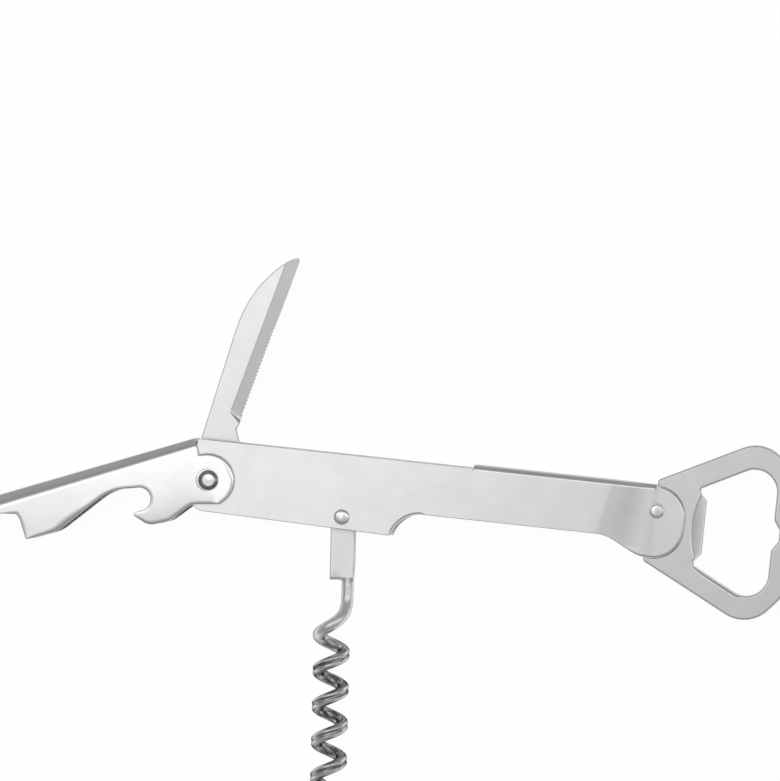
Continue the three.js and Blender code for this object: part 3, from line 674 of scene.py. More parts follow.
def loop_outline():
    peak_along = LOOP_REACH - PEAK_BACK
    peak = loop_rise(peak_along)
    far = peak - PEAK_BACK * math.tan(math.radians(FAR_SLOPE))
    tang_top = WALL_TOP - HANDLE_SHEET - TANG_GAP - LOOP_PLACE[1]
    run = rounded_run([
        (TANG_MIDDLE, tang_top), (NECK_TOP, tang_top, 0.3), (NECK_TOP, loop_rise(NECK_TOP), 0.8),
        (peak_along, peak, PEAK_CORNER), (LOOP_REACH, far, FAR_CORNER), (LOOP_REACH, -far, FAR_CORNER),
        (peak_along, -peak, PEAK_CORNER), (NECK_LOW[0], -loop_rise(NECK_LOW[0]), 0.8), (*NECK_LOW, 0.8),
        (TANG_END, TANG_LOW, 0.8), (TANG_END, tang_top, 0.6), (TANG_MIDDLE, tang_top),
    ])
    return run[:-1]


def opening_outline():
    """The opening, with a bump in its far side that steadies the bottle's rim."""
    far = LOOP_REACH - LOOP_RIM
    edge = LIP_START + LIP_RADIUS - math.sqrt(LIP_RADIUS**2 - LIP_HALF**2)
    free = LIP_START + LIP_REACH
    upper = rounded_run([
        (free, 0), (free, LIP_HALF - LIP_TAPER, 0.5), (edge, LIP_HALF, 0.15),
        (edge, loop_rise(LIP_PLACE, LOOP_RIM), 0.6), (far, loop_rise(far, LOOP_RIM), FAR_INSIDE),
        (far, BUMP_HALF, BUMP_CORNER), (far + BUMP_REACH, BUMP_TOP, BUMP_CORNER), (far + BUMP_REACH, 0),
    ])
    return np.concatenate([upper, upper[::-1][1:-1] * [1, -1]])


print("the opening is", round(2 * loop_rise(LOOP_REACH - LOOP_RIM, LOOP_RIM), 1), "mm wide at most")

# %% The cap opener's lip
LIP_SLANT, LIP_BEND, LIP_DEEP, LIP_BACKSET, ROOT_GAP = 1.06, 0.5, 0.98, 1.04, 0.2
PLATE_ROLL, DRAWN_ROLL, PLATE_BACK_ROLL = 0.55, 1.1, 0.3
LIP_ROWS, LIP_POINTS, LINE_INSET, LINE_SLANT = (-0.05, 0, 0.1, 0.2, 0.3, 0.4, 0.5, 0.7), 40, 0.35, 0.9
LIP_LIMIT, LIP_LONGEST, LIP_BESIDE = 13, 4, 0.3
DRAWN_FROM, DRAWN_TO, NEAR_EDGE = 10.5, 23, 0.3
ROOT_GRID = ((0.4, 0.5), (9.4, -6), (11.4, 6))


def lip_root(across):
    """Where the lip's bend starts along the loop: an arc that bulges towards the handle."""
    across = np.clip(np.abs(across), 0, LIP_HALF)
    return LIP_START + ROOT_GAP + LIP_RADIUS - np.sqrt(LIP_RADIUS**2 - across**2)


def on_lip(points):
    """How far past the lip's root a point lies."""
    past = np.clip(points[:, 0] - lip_root(points[:, 1]), 0, LIP_LONGEST)
    here = (points[:, 0] < LIP_LIMIT) & (np.abs(points[:, 1]) <= LIP_HALF + LIP_BESIDE)
    return np.where(here, past, 0)


def lip_fall(points):
    """The lip's drop behind the plate: a tight bend, then a slant."""
    past = on_lip(points)
    return LIP_SLANT * np.where(past < LIP_BEND, past**2 / (2 * LIP_BEND), past - LIP_BEND / 2)


def on_plate(points, share):
    """The lip's back runs straight from its root to the thinner, square-cut edge."""
    out = on_lip(points) / LIP_REACH
    along = points[:, 0] - share * LIP_BACKSET * out
    level = PLATE / 2 - lip_fall(points) - share * (PLATE + (LIP_DEEP - PLATE) * out)
    return put_in_place(np.stack([along, points[:, 1], level], 1), LOOP_PLACE)


def plate_edge(loop):
    """How far in the edge is rolled: most along the opening's lower side, which the punch drew down."""
    lower = np.abs(loop[:, 1] + loop_rise(loop[:, 0], LOOP_RIM)) < NEAR_EDGE
    lower &= (loop[:, 0] > DRAWN_FROM) & (loop[:, 0] < DRAWN_TO)
    return np.where(lower, DRAWN_ROLL, PLATE_ROLL)


rivet_hole = ring_of((0, OPENER_RIVET[1] - LOOP_PLACE[1]), OPENER_BORE)
lip_lines = []
for past in LIP_ROWS:
    spread = np.linspace(-1, 1, LIP_POINTS) * (LIP_HALF - LINE_INSET - LINE_SLANT * max(past, 0))
    lip_lines.append(np.stack([lip_root(spread) + past, spread], 1))
cap_opener = sheet_piece(
    "cap_opener_loop", [loop_outline(), opening_outline(), rivet_hole], on_plate, PLATE, plate_edge,
    grid=ROOT_GRID, creases=lip_lines, back_edge=PLATE_BACK_ROLL)

# %% [markdown]
# ## The foil knife
#
# The blade is flat sheet, ground to a bevel along its edge, and its edge has fine teeth. The bevel is
# part of the builder's placing function: the blade's half thickness falls towards the edge, and the
# grindstone's plunge makes the steep start of it. A Boolean with a wedge would leave long thin triangles
# along the bevel, and they would shade badly.

# %% The knife's outline
KNIFE_EDGE, KNIFE_REACH, KNIFE_WIDTH, KNIFE_TANG, TIP_START = 1.93, 57.1, 8.65, 5, 0.99
GRIND_WIDTH, GRIND_START = 3, 15.0
TOOTH, TOOTH_DEPTH, TEETH_START, TEETH, TEETH_FADE = 0.92, 0.3, 17.2, 29, 7
TEETH_END = TEETH_START + TEETH * TOOTH
RICASSO = [(3.55, 10.8, 0.8), (1.7, 13.5, 0.8)]
EDGE_STEPS = 0.1
# The back's run to the tip, as shares of the knife's reach and width.
BACK_SHARES = [(0.617, 1), (0.68, 1), (0.729, 0.971), (0.777, 0.913), (0.826, 0.828), (0.868, 0.71),
               (0.916, 0.55), (0.964, 0.34), (0.988, 0.19), (1, 0.05)]


def smooth_through(points, steps=8):
    """A soft curve through points."""
    points = np.array(points, float)
    padded = np.concatenate([[2 * points[0] - points[1]], points, [2 * points[-1] - points[-2]]])
    made = []
    for i in range(1, len(padded) - 2):
        p0, p1, p2, p3 = padded[i - 1:i + 3]
        for t in np.arange(steps) / steps:
            made.append(0.5 * (2 * p1 + (p2 - p0) * t + (2 * p0 - 5 * p1 + 4 * p2 - p3) * t**2
                               + (3 * p1 - p0 - 3 * p2 + p3) * t**3))
    return np.array([*made, points[-1]])


def tooth_depth(along):
    """How deep the edge is cut: a row of round notches that grow shallow towards the tip."""
    inside = (along > TEETH_START) & (along < TEETH_END)
    depth = TOOTH_DEPTH * np.clip((TEETH_END - along) / TEETH_FADE, 0, 1)
    return np.where(inside, depth * np.abs(np.sin((along - TEETH_START) / TOOTH * math.pi)), 0)


def knife_outline():
    back = smooth_through([(KNIFE_EDGE - b * KNIFE_WIDTH, a * KNIFE_REACH) for a, b in BACK_SHARES])
    tang = arc((0, 0), KNIFE_TANG, 180, 180)
    root = rounded_run([(KNIFE_TANG, 0), *RICASSO, (KNIFE_EDGE, GRIND_START)])
    along = np.arange(GRIND_START + 1.5 * EDGE_STEPS, TIP_START * KNIFE_REACH, EDGE_STEPS)
    edge = np.stack([KNIFE_EDGE - tooth_depth(along), along], 1)
    return np.concatenate([tang, root[1:], edge, [[KNIFE_EDGE, TIP_START * KNIFE_REACH]], back[::-1]])


print("the knife has", TEETH, "teeth over", round(TEETH_END - TEETH_START, 1), "mm")

# %% The knife's bevel
BLADE_HALF, EDGE_HALF, PLUNGE, PLUNGE_CURVE = 0.7, 0.24, 1.8, 2.2
SHOULDER, SHOULDER_STEP, SHOULDER_DEPTH = KNIFE_EDGE - GRIND_WIDTH, 0.14, 0.09
SHARP_ROLL, BLADE_ROLL, SHARP_BAND, TIP_BAND = 0.05, 0.3, 0.6, 55.5
SHOULDER_END, SHOULDER_POINTS, PLUNGE_ROWS, PLUNGE_POINTS, PLUNGE_SHARE = 54.6, 0.8, 8, 13, 0.96


def blade_half(points):
    """Half the blade's thickness: full above the shoulder, falling to the edge over the bevel."""
    ground = np.clip((points[:, 0] - SHOULDER) / GRIND_WIDTH, 0, 1)
    level = GRIND_START + PLUNGE * (1 - ground)
    past = np.clip((points[:, 1] - level) / (PLUNGE * ground + 0.1), 0, 1)
    line = np.clip((points[:, 0] - SHOULDER) / SHOULDER_STEP, 0, 1)
    cut = (BLADE_HALF - EDGE_HALF) * ground + SHOULDER_DEPTH * line
    return BLADE_HALF - cut * (1 - (1 - past) ** PLUNGE_CURVE)


def on_knife(points, share):
    level = blade_half(points) * (1 - 2 * share)
    return put_in_place(np.stack([points[:, 0], points[:, 1], level], 1), MAIN_RIVET, KNIFE_ANGLE)


def knife_edge(loop):
    """How far in the edge is rolled: much along the back, hardly along the ground edge and the tip."""
    ground_edge = (loop[:, 0] > KNIFE_EDGE - SHARP_BAND) & (loop[:, 1] > GRIND_START - EDGE_STEPS)
    return np.where(ground_edge | (loop[:, 1] > TIP_BAND), SHARP_ROLL, BLADE_ROLL)


line_up = np.arange(GRIND_START + PLUNGE, SHOULDER_END - SHOULDER_POINTS / 2, SHOULDER_POINTS)
line_up = np.append(line_up, SHOULDER_END)
creases = [np.stack([np.full(len(line_up), SHOULDER + aside), line_up], 1) for aside in (0, SHOULDER_STEP)]
ground = np.linspace(0, PLUNGE_SHARE, PLUNGE_POINTS + 1)[1:]
for k in range(PLUNGE_ROWS + 1):
    up = GRIND_START + PLUNGE * (1 - ground * (1 - k / PLUNGE_ROWS))
    creases.append(np.stack([SHOULDER + GRIND_WIDTH * ground, up], 1))
knife = sheet_piece(
    "knife_blade", [knife_outline(), ring_of((0, 0), MAIN_BORE)], on_knife,
    lambda loop: 2 * blade_half(loop), knife_edge, creases=creases, back_edge=SHARP_ROLL)

# %% [markdown]
# ## Node trees
#
# What follows a rule is made by Geometry Nodes: the worm's wire, and all the turned pieces. Both are tubes
# rolled from a grid, so two helpers start and end their trees. The others here add one kind of node each,
# which keeps the trees short enough to read.

# %% Helpers for node trees
FLOAT, WHOLE, FINISH = "NodeSocketFloat", "NodeSocketInt", "NodeSocketMaterial"


def add_node(tree, kind, inputs=None, **settings):
    """One node. Its inputs are set or linked by name or number, and its settings by name."""
    made = tree.nodes.new(kind)
    for name, value in settings.items():
        setattr(made, name, value)
    for key, value in (inputs or {}).items():
        if isinstance(value, bpy.types.NodeSocket):
            tree.links.new(value, made.inputs[key])
        else:
            made.inputs[key].default_value = value
    return made


def calc(tree, operation, *values):
    """The result of one Math node."""
    return add_node(tree, "ShaderNodeMath", dict(enumerate(values)), operation=operation).outputs[0]


def product(tree, first, *others):
    """The product of numbers, by as many Math nodes as it takes."""
    for other in others:
        first = calc(tree, "MULTIPLY", first, other)
    return first


def vector(tree, operation, *values, scale=None):
    """The result of one Vector Math node."""
    inputs = dict(enumerate(values)) | ({"Scale": scale} if scale is not None else {})
    made = add_node(tree, "ShaderNodeVectorMath", inputs, operation=operation)
    return made.outputs["Value" if operation == "DOT_PRODUCT" else 0]


def combined(tree, x=0.0, y=0.0, z=0.0):
    return add_node(tree, "ShaderNodeCombineXYZ", {"X": x, "Y": y, "Z": z}).outputs[0]


def span(tree, value, low, high, at_low=0.0, at_high=1.0, soft=False):
    """One Map Range node: at_low where the value is low or less, at_high where it is high or more."""
    inputs = {"Value": value, "From Min": low, "From Max": high, "To Min": at_low, "To Max": at_high}
    kind = "SMOOTHSTEP" if soft else "LINEAR"
    return add_node(tree, "ShaderNodeMapRange", inputs, interpolation_type=kind).outputs[0]


def stored(tree, geometry, name, value, kind="FLOAT"):
    """The geometry with a value stored on its points."""
    inputs = {"Geometry": geometry, "Name": name, "Value": value}
    return add_node(tree, "GeometryNodeStoreNamedAttribute", inputs, data_type=kind).outputs[0]


def new_tree(name, inputs):
    """A Geometry Nodes tree with a geometry in and out, and named inputs. A tube's tree also has its
    sides and its finish as inputs."""
    tree = bpy.data.node_groups.new(name, "GeometryNodeTree")
    tree.interface.new_socket("Geometry", in_out="OUTPUT", socket_type="NodeSocketGeometry")
    sockets = {"Geometry": "NodeSocketGeometry", **inputs, "Sides": WHOLE, "Finish": FINISH}
    for label, kind in sockets.items():
        tree.interface.new_socket(label, in_out="INPUT", socket_type=kind)
    return tree, tree.nodes.new("NodeGroupInput").outputs


def rolled_grid(tree, given, rows):
    """A grid to roll into a tube, and for each of its points the row and the angle round the tube."""
    around = calc(tree, "ADD", given["Sides"], 1)
    grid = add_node(tree, "GeometryNodeMeshGrid", {"Vertices X": rows, "Vertices Y": around})
    index = add_node(tree, "GeometryNodeInputIndex").outputs[0]
    row = calc(tree, "FLOOR", calc(tree, "DIVIDE", calc(tree, "ADD", index, 0.5), around))
    side = calc(tree, "SUBTRACT", index, product(tree, row, around))
    angle = product(tree, calc(tree, "DIVIDE", side, given["Sides"]), 2 * math.pi)
    return grid.outputs["Mesh"], row, angle


def end_tree(tree, given, geometry):
    """Closes the tube's seam, shades it smooth and gives it its finish."""
    closed = add_node(tree, "GeometryNodeMergeByDistance", {"Geometry": geometry, "Distance": SAME_POINT})
    smooth = add_node(tree, "GeometryNodeSetShadeSmooth", {"Geometry": closed.outputs[0]})
    real = add_node(tree, "GeometryNodeRealizeInstances", {"Geometry": smooth.outputs[0]})
    inputs = {"Geometry": real.outputs[0], "Material": given["Finish"]}
    finish = add_node(tree, "GeometryNodeSetMaterial", inputs)
    tree.links.new(finish.outputs[0], tree.nodes.new("NodeGroupOutput").inputs[0])
    return tree


def run_tree(tree, name, values, start=None):
    """The plain mesh that a tree makes with these inputs."""
    mesh = start or bpy.data.meshes.new(name)
    source = bpy.data.objects.new(name + "_source", mesh)
    bpy.context.scene.collection.objects.link(source)
    modifier = source.modifiers.new("Shape", "NODES")
    modifier.node_group = tree
    sockets = {s.name: s.identifier for s in tree.interface.items_tree if s.in_out == "INPUT"}
    for label, value in values.items():
        modifier[sockets[label]] = value
    ready = source.evaluated_get(bpy.context.evaluated_depsgraph_get())
    made = bpy.data.objects.new(name, bpy.data.meshes.new_from_object(ready))
    bpy.context.scene.collection.objects.link(made)
    bpy.data.objects.remove(source)
    return made


def set_in_frame(piece, place, degrees=0):
    """Closes a tube's open ends, turns its faces outwards and moves it to its place in the frame."""
    mesh = bmesh.new()
    mesh.from_mesh(piece.data)
    bmesh.ops.holes_fill(mesh, edges=[e for e in mesh.edges if e.is_boundary], sides=0)
    bmesh.ops.recalc_face_normals(mesh, faces=mesh.faces)
    mesh.to_mesh(piece.data)
    mesh.free()
    points = put_in_place([tuple(v.co) for v in piece.data.vertices], place, degrees)
    for vertex, point in zip(piece.data.vertices, points):
        vertex.co = point
    print(f"{piece.name}: {len(piece.data.polygons)} faces")


print("node helpers are ready")

# %% [markdown]
# ## Steel
#
# Every piece is steel, but no two surfaces were finished alike. The sheets are satin, with grain from
# sanding; the cap opener's plate is the same satin steel, with its colour painted darker as shade. The lever
# is polished. The blade has a coarser grain across its bevel. The worm is rougher, dulled by its hardening,
# and its colour is painted darker as shade away from the ridges beside its groove, which stay bright as
# painted highlights. The main rivet's head carries a ring of painted shade. Each finish is a metal shader
# whose roughness and bump come from stretched noise.

# %% The steel finishes
WORN_LOSS, WORN_ROUGHER, SATIN_ROUGHER, DULL_ROUGHER = 0.04, 0.05, 0.12, 0.1


def steel(name, colour, roughness, spread, grain, grain_size, along=(1, 0), blotch=0.03, shaded_to=0.5,
          drawn=None, grazing=0.5):
    """A metal material. The grain runs along the given direction, in object space, or along a drawn wire.
    Where the mesh's shade_and_dullness is 1, the colour falls to the share shaded_to, as painted shade, and
    the polish is gone. Where its edge attribute is 1, handling has worn the grain to small dull patches. Seen
    from the side it reflects only the share grazing."""
    material = bpy.data.materials.new(name)
    material.use_nodes = True
    tree = material.node_tree
    shader = tree.nodes["Principled BSDF"]
    place = add_node(tree, "ShaderNodeTexCoord").outputs["Object"]

    def attribute(label, output="Fac"):
        return add_node(tree, "ShaderNodeAttribute", attribute_name=label).outputs[output]

    def noise(where, scale, detail, **inputs):
        inputs = {"Vector": where, "Scale": scale, "Detail": detail, **inputs}
        return add_node(tree, "ShaderNodeTexNoise", inputs).outputs[0]

    if drawn:
        stretched = attribute("drawn", "Vector")
    else:
        turn, size = math.atan2(along[1], along[0]), 1 / grain_size
        inputs = {"Vector": place, "Rotation": (0, 0, turn), "Scale": (25 * size, size, size)}
        stretched = add_node(tree, "ShaderNodeMapping", inputs, vector_type="TEXTURE").outputs[0]
    lines = noise(stretched, drawn or 1, 4, Roughness=0.6)
    clouds = noise(place, 160, 3)
    tone = span(tree, clouds, 0.3, 0.7, 1 - blotch, 1 + blotch)
    patchy = span(tree, lines if drawn else clouds, 0.38, 0.6, 0.35 if drawn else 0.7, 1.1)
    shade_and_dull = product(tree, attribute("shade_and_dullness"), patchy)
    worn = product(tree, span(tree, noise(place, 1400, 3), 0.45, 0.6), attribute("edge"))
    # Painted shade: the colour darkens where the mesh carries its shade mark (the worm's wire off its ridges,
    # the main rivet's ring); the edge patches are wear.
    for share, loss in ((shade_and_dull, 1 - shaded_to), (worn, WORN_LOSS)):
        tone = product(tree, tone, calc(tree, "SUBTRACT", 1, product(tree, share, loss)))
    rough = span(tree, lines, 0.3, 0.7, roughness - spread, roughness + spread)
    for share, rougher in ((attribute("satin"), SATIN_ROUGHER), (shade_and_dull, DULL_ROUGHER), (worn, WORN_ROUGHER)):
        rough = calc(tree, "ADD", rough, product(tree, share, rougher))
    bump = add_node(tree, "ShaderNodeBump", {"Strength": grain, "Distance": 0.02 * MM, "Height": lines})
    shader.inputs["Metallic"].default_value = 1
    shader.inputs["Specular Tint"].default_value = (grazing, grazing, grazing, 1)
    tree.links.new(vector(tree, "SCALE", colour, scale=tone), shader.inputs["Base Color"])
    tree.links.new(rough, shader.inputs["Roughness"])
    tree.links.new(bump.outputs[0], shader.inputs["Normal"])
    return material


satin = steel("satin steel", (0.84, 0.84, 0.83), 0.25, 0.012, 0.012, 5000)
polished = steel("polished steel", (0.89, 0.89, 0.88), 0.15, 0.02, 0.04, 7000)
# The cap opener's plate is the handle's satin steel, with its colour painted darker as shade.
shaded_satin_plate = steel("satin plate steel painted darker", (0.785, 0.785, 0.775), 0.25, 0.01, 0.01, 5000)
blade = steel("blade steel", (0.765, 0.765, 0.755), 0.24, 0.03, 0.06, 9000, along=(0.25, 0.97))
pressed = steel("shank steel", (0.82, 0.82, 0.81), 0.28, 0.01, 0.008, 2500, along=(0, 1), blotch=0.05)
# The worm's colour falls to about a quarter as painted shade off its ridges, and its grazing share of a tenth
# darkens what its sides mirror, also as painted shade.
shaded_worm = steel("worm steel", (0.84, 0.83, 0.82), 0.24, 0.05, 0.35, 6000, blotch=0.06, shaded_to=0.26,
               drawn=1.7, grazing=0.1)
# The rivet steel's painted shade ring falls to about a third of its colour.
headed = steel("rivet steel", (0.86, 0.86, 0.85), 0.17, 0.03, 0.1, 8000, shaded_to=0.35)
plain = steel("plain steel", (0.66, 0.66, 0.65), 0.4, 0.05, 0.2, 8000)
print("finishes:", [m.name for m in bpy.data.materials])

# %% [markdown]
# ## The corkscrew worm
#
# The worm is one wire. Its top is pressed flat into a shank with an eye, and below the neck it winds into
# a right-handed helix with a pressed groove along its outside. A Screw modifier could wind it, but not
# with a lead-in, a point and a groove that starts part of the way down. Its shape follows a rule, so
# Geometry Nodes makes it: every ring of the wire is placed by the helix's pitch and radius.

# %% The tree that winds the wire
WIRE = {
    "Start": 13.6, "Lead in": 18.4, "Lead length": 10.1, "Reach": 65.68, "Pitch": 8.5, "Offset": 2.2,
    "Helix radius": 3.12, "First radius": 3.53, "Wire radius": 1.45, "Neck radius": 0.95,
    "Neck length": 3.0, "Point radius": 0.25, "Point length": 2.8, "Groove start": 27.5,
    "Groove depth": 0.38, "Groove half angle": 0.62,
}
LOOK_AHEAD, GROOVE_FADE, STREAK_STRETCH = 0.05, 4, 0.35
# The shade share on the ridges: they stay bright, as painted highlights, while the rest of the grooved wire
# is painted darker as shade.
RIDGE_CORE, RIDGE_EDGE, RIDGE_SHADE_AND_DULLNESS = 0.06, 0.32, 0.05


def helix(tree, size, place):
    """The wire's middle at a distance from the pin, and the way out from the helix's axis there."""
    past = calc(tree, "SUBTRACT", place, size["Lead in"])
    run = span(tree, calc(tree, "DIVIDE", past, size["Lead length"]), 0, 1)
    power = calc(tree, "DIVIDE", product(tree, size["Lead length"], 2), size["Pitch"])
    early = product(tree, calc(tree, "POWER", run, power), math.pi)
    rest = calc(tree, "DIVIDE", calc(tree, "SUBTRACT", past, size["Lead length"]), size["Pitch"])
    late = product(tree, calc(tree, "MAXIMUM", rest, 0), 2 * math.pi)
    angle = calc(tree, "ADD", early, late)
    cosine, sine = calc(tree, "COSINE", angle), calc(tree, "SINE", angle)
    radius = span(tree, run, 0, 1, size["First radius"], size["Helix radius"], soft=True)
    x = calc(tree, "SUBTRACT", product(tree, radius, cosine), size["Offset"])
    middle = combined(tree, x, product(tree, place, -1), product(tree, radius, sine))
    return middle, combined(tree, cosine, 0, sine)


def wire_tree():
    tree, size = new_tree("wound wire", {**{label: FLOAT for label in WIRE}, "Rings": WHOLE})
    mesh, ring, angle = rolled_grid(tree, size, size["Rings"])
    share = calc(tree, "DIVIDE", ring, calc(tree, "SUBTRACT", size["Rings"], 1))
    length = calc(tree, "SUBTRACT", size["Reach"], size["Start"])
    along = calc(tree, "ADD", size["Start"], product(tree, share, length))

    # The ring's own axes: along the wire, out from the helix, and sideways.
    middle, outward = helix(tree, size, along)
    ahead, _ = helix(tree, size, calc(tree, "ADD", along, LOOK_AHEAD))
    behind, _ = helix(tree, size, calc(tree, "SUBTRACT", along, LOOK_AHEAD))
    tangent = vector(tree, "NORMALIZE", vector(tree, "SUBTRACT", ahead, behind))
    lean = vector(tree, "DOT_PRODUCT", outward, tangent)
    level = vector(tree, "SCALE", tangent, scale=lean)
    out = vector(tree, "NORMALIZE", vector(tree, "SUBTRACT", outward, level))
    sideways = vector(tree, "CROSS_PRODUCT", tangent, out)

    # The wire's radius, less the groove.
    from_start = calc(tree, "SUBTRACT", along, size["Start"])
    to_end = calc(tree, "SUBTRACT", size["Reach"], along)
    swelling = span(tree, from_start, 0, size["Neck length"], size["Neck radius"], size["Wire radius"], True)
    to_point = span(tree, to_end, 0, size["Point length"], size["Point radius"], size["Wire radius"])
    radius = calc(tree, "MINIMUM", swelling, to_point)
    from_out = calc(tree, "ABSOLUTE", calc(tree, "WRAP", angle, math.pi, -math.pi))
    groove = span(tree, from_out, 0, size["Groove half angle"], 1, 0, soft=True)
    grooved = span(tree, calc(tree, "SUBTRACT", along, size["Groove start"]), 0, GROOVE_FADE, soft=True)
    thinner = calc(tree, "DIVIDE", radius, size["Wire radius"])
    reach = calc(tree, "SUBTRACT", radius, product(tree, groove, grooved, size["Groove depth"], thinner))
    cosine, sine = calc(tree, "COSINE", angle), calc(tree, "SINE", angle)
    aside = vector(tree, "ADD", vector(tree, "SCALE", out, scale=product(tree, reach, cosine)),
                   vector(tree, "SCALE", sideways, scale=product(tree, reach, sine)))
    moved = add_node(tree, "GeometryNodeSetPosition", {
        "Geometry": mesh, "Position": vector(tree, "ADD", middle, aside)}).outputs[0]

    # What the finish reads: painted shade on the grooved wire, with the ridges beside the groove left bright
    # as painted highlights, streaks along the wire, and a satin neck.
    from_ridge = calc(tree, "ABSOLUTE", calc(tree, "SUBTRACT", from_out, size["Groove half angle"]))
    shade_off_ridge = span(tree, from_ridge, RIDGE_CORE, RIDGE_EDGE, RIDGE_SHADE_AND_DULLNESS, 1, soft=True)
    marked = stored(tree, moved, "shade_and_dullness", span(tree, grooved, 0, 1, 0, shade_off_ridge))
    streaks = combined(tree, product(tree, size["Wire radius"], cosine),
                       product(tree, size["Wire radius"], sine), product(tree, along, STREAK_STRETCH))
    marked = stored(tree, marked, "drawn", streaks, "FLOAT_VECTOR")
    marked = stored(tree, marked, "satin", calc(tree, "SUBTRACT", 1, grooved))
    return end_tree(tree, size, marked)


wire = run_tree(wire_tree(), "worm_wire", {**WIRE, "Rings": 700, "Sides": 40, "Finish": shaded_worm})
set_in_frame(wire, WORM_PIN, WORM_ANGLE)

# %% The worm's shank
SHANK_RIGHT, SHANK_END, SHANK_TAPER = 3, -15.1, -11.6
NECK_RIGHT, NECK_LEFT, NECK_END, NECK_INWARD = 2.78, -0.12, -17.3, 0.35
THIN_START, THIN_LENGTH, THIN_SHARE = -14.3, 2.6, 0.7
RIGHT_ROLL, SHANK_ROLL, NECK_ROLL, RIGHT_BAND, NECK_START, NECK_FADE = 0.55, 0.3, 0.7, 2, -13.5, 1.5
CREASES, CREASE_STEP, CREASE_POINTS, CREASE_FROM, CREASE_TO = 11, 0.25, 8, 0.5, 2.2


def shank_outline():
    eye = arc((0, 0), SHANK_RIGHT, 0, 180)
    run = rounded_run([
        (-SHANK_RIGHT, 0), (-SHANK_RIGHT, SHANK_END, 0.22), (NECK_LEFT, SHANK_END, 1),
        (NECK_LEFT + NECK_INWARD, NECK_END, 0.5), (NECK_RIGHT - NECK_INWARD, NECK_END, 0.5),
        (NECK_RIGHT, SHANK_END, 0.22), (SHANK_RIGHT, SHANK_TAPER),
    ])
    return np.concatenate([eye, run[1:]])


def shank_half(points):
    """Half the shank's thickness, which runs out into the round wire at the neck."""
    out = np.clip((THIN_START - points[:, 1]) / THIN_LENGTH, 0, 1)
    return 1 - THIN_SHARE * out**2 * (3 - 2 * out)


def on_shank(points, share):
    level = shank_half(points) * (1 - 2 * share)
    return put_in_place(np.stack([points[:, 0], points[:, 1], level], 1), WORM_PIN, WORM_ANGLE)


def shank_edge(loop):
    """Soft along the right side, where the wire's own roundness is left, and all round the neck."""
    soft = np.where(loop[:, 0] > RIGHT_BAND, RIGHT_ROLL, SHANK_ROLL)
    return soft + (NECK_ROLL - soft) * np.clip((NECK_START - loop[:, 1]) / NECK_FADE, 0, 1)


neck_across = np.linspace(CREASE_FROM, CREASE_TO, CREASE_POINTS)
neck = [np.stack([neck_across, np.full(CREASE_POINTS, THIN_START - k * CREASE_STEP)], 1)
        for k in range(CREASES)]
shank = sheet_piece("worm_shank", [shank_outline(), ring_of((0, 0), WORM_BORE)], on_shank,
                    lambda loop: 2 * shank_half(loop), shank_edge, creases=neck, back_edge=SHANK_ROLL)

# %% [markdown]
# ## Rivets, pins, washers and spacers
#
# These are all turned parts, or are headed as round as turned ones. A Screw modifier would spin a profile
# too. A small tree of our own also carries a mark from the profile to the finish, for the ring of painted
# shade on the main rivet's head.

# %% The turning tree


def turning_tree():
    """Spins a profile of points (radius, painted shade and dullness, level) round an axis."""
    tree, given = new_tree("turned piece", {})
    inputs = {"Geometry": given["Geometry"]}
    count = add_node(tree, "GeometryNodeAttributeDomainSize", inputs).outputs["Point Count"]
    mesh, step, angle = rolled_grid(tree, given, count)
    inputs |= {"Value": add_node(tree, "GeometryNodeInputPosition").outputs[0], "Index": step}
    there = add_node(tree, "GeometryNodeSampleIndex", inputs, data_type="FLOAT_VECTOR").outputs[0]
    parts = add_node(tree, "ShaderNodeSeparateXYZ", {"Vector": there}).outputs
    inputs = {"Vector": combined(tree, parts["X"], 0, parts["Z"]), "Angle": angle}
    spun = add_node(tree, "ShaderNodeVectorRotate", inputs, rotation_type="Z_AXIS").outputs[0]
    moved = add_node(tree, "GeometryNodeSetPosition", {"Geometry": mesh, "Position": spun}).outputs[0]
    return end_tree(tree, given, stored(tree, moved, "shade_and_dullness", parts["Y"]))


TURNING = turning_tree()


def turned(name, profile, place, finish, shade_and_dull_between=(0, 0)):
    """A piece spun from a profile of (radius, level) points, with painted shade and dullness between two
    radii.
    """
    mesh = bpy.data.meshes.new(name + "_profile")
    points = [(radius, float(shade_and_dull_between[0] < radius < shade_and_dull_between[1]), level) for radius, level in profile]
    mesh.from_pydata(points, [(i, i + 1) for i in range(len(points) - 1)], [])
    made = run_tree(TURNING, name, {"Sides": 64, "Finish": finish}, start=mesh)
    set_in_frame(made, place)
    return made


def as_pairs(points):
    return [tuple(p) for p in points]


def headed_profile(pin, head):
    """Both heads and the pin between them, from a head's profile of (radius, level)."""
    seat = head[0][1]
    return [*[(r, -z) for r, z in head][::-1], (pin, -seat), (pin, seat), *head]


def dome(radius, seat, rise, steps=10):
    """A dome's profile from its rim up to its middle."""
    angles = [math.pi / 2 * i / steps for i in range(steps + 1)]
    return [(radius * math.cos(a), seat + rise * math.sin(a)) for a in angles]


def ring_profile(inner, outer, low, high, edge=0.08):
    """A washer's or a tube's profile, closed."""
    middle = (inner + outer) / 2
    return as_pairs(rounded_run([(middle, low), (outer, low, edge), (outer, high, edge), (inner, high, edge),
                                 (inner, low, edge), (middle, low)]))


print("a dome's profile has", len(dome(1, 0, 1)), "points")

# %% The rivets and pins
HEAD_SHIFT, SHIFT_LEVEL, SHIFT_OVER = 0.36, 7.44, 0.1

main_head = closely(rounded_run([
    (2.0, 7.32), (2.75, 7.32, 0.06), (2.68, 7.5, 0.08), (2.42, 7.5, 0.2), (1.42, 8.1, 0.3), (0, 8.199),
]), closed=False, step=0.12)
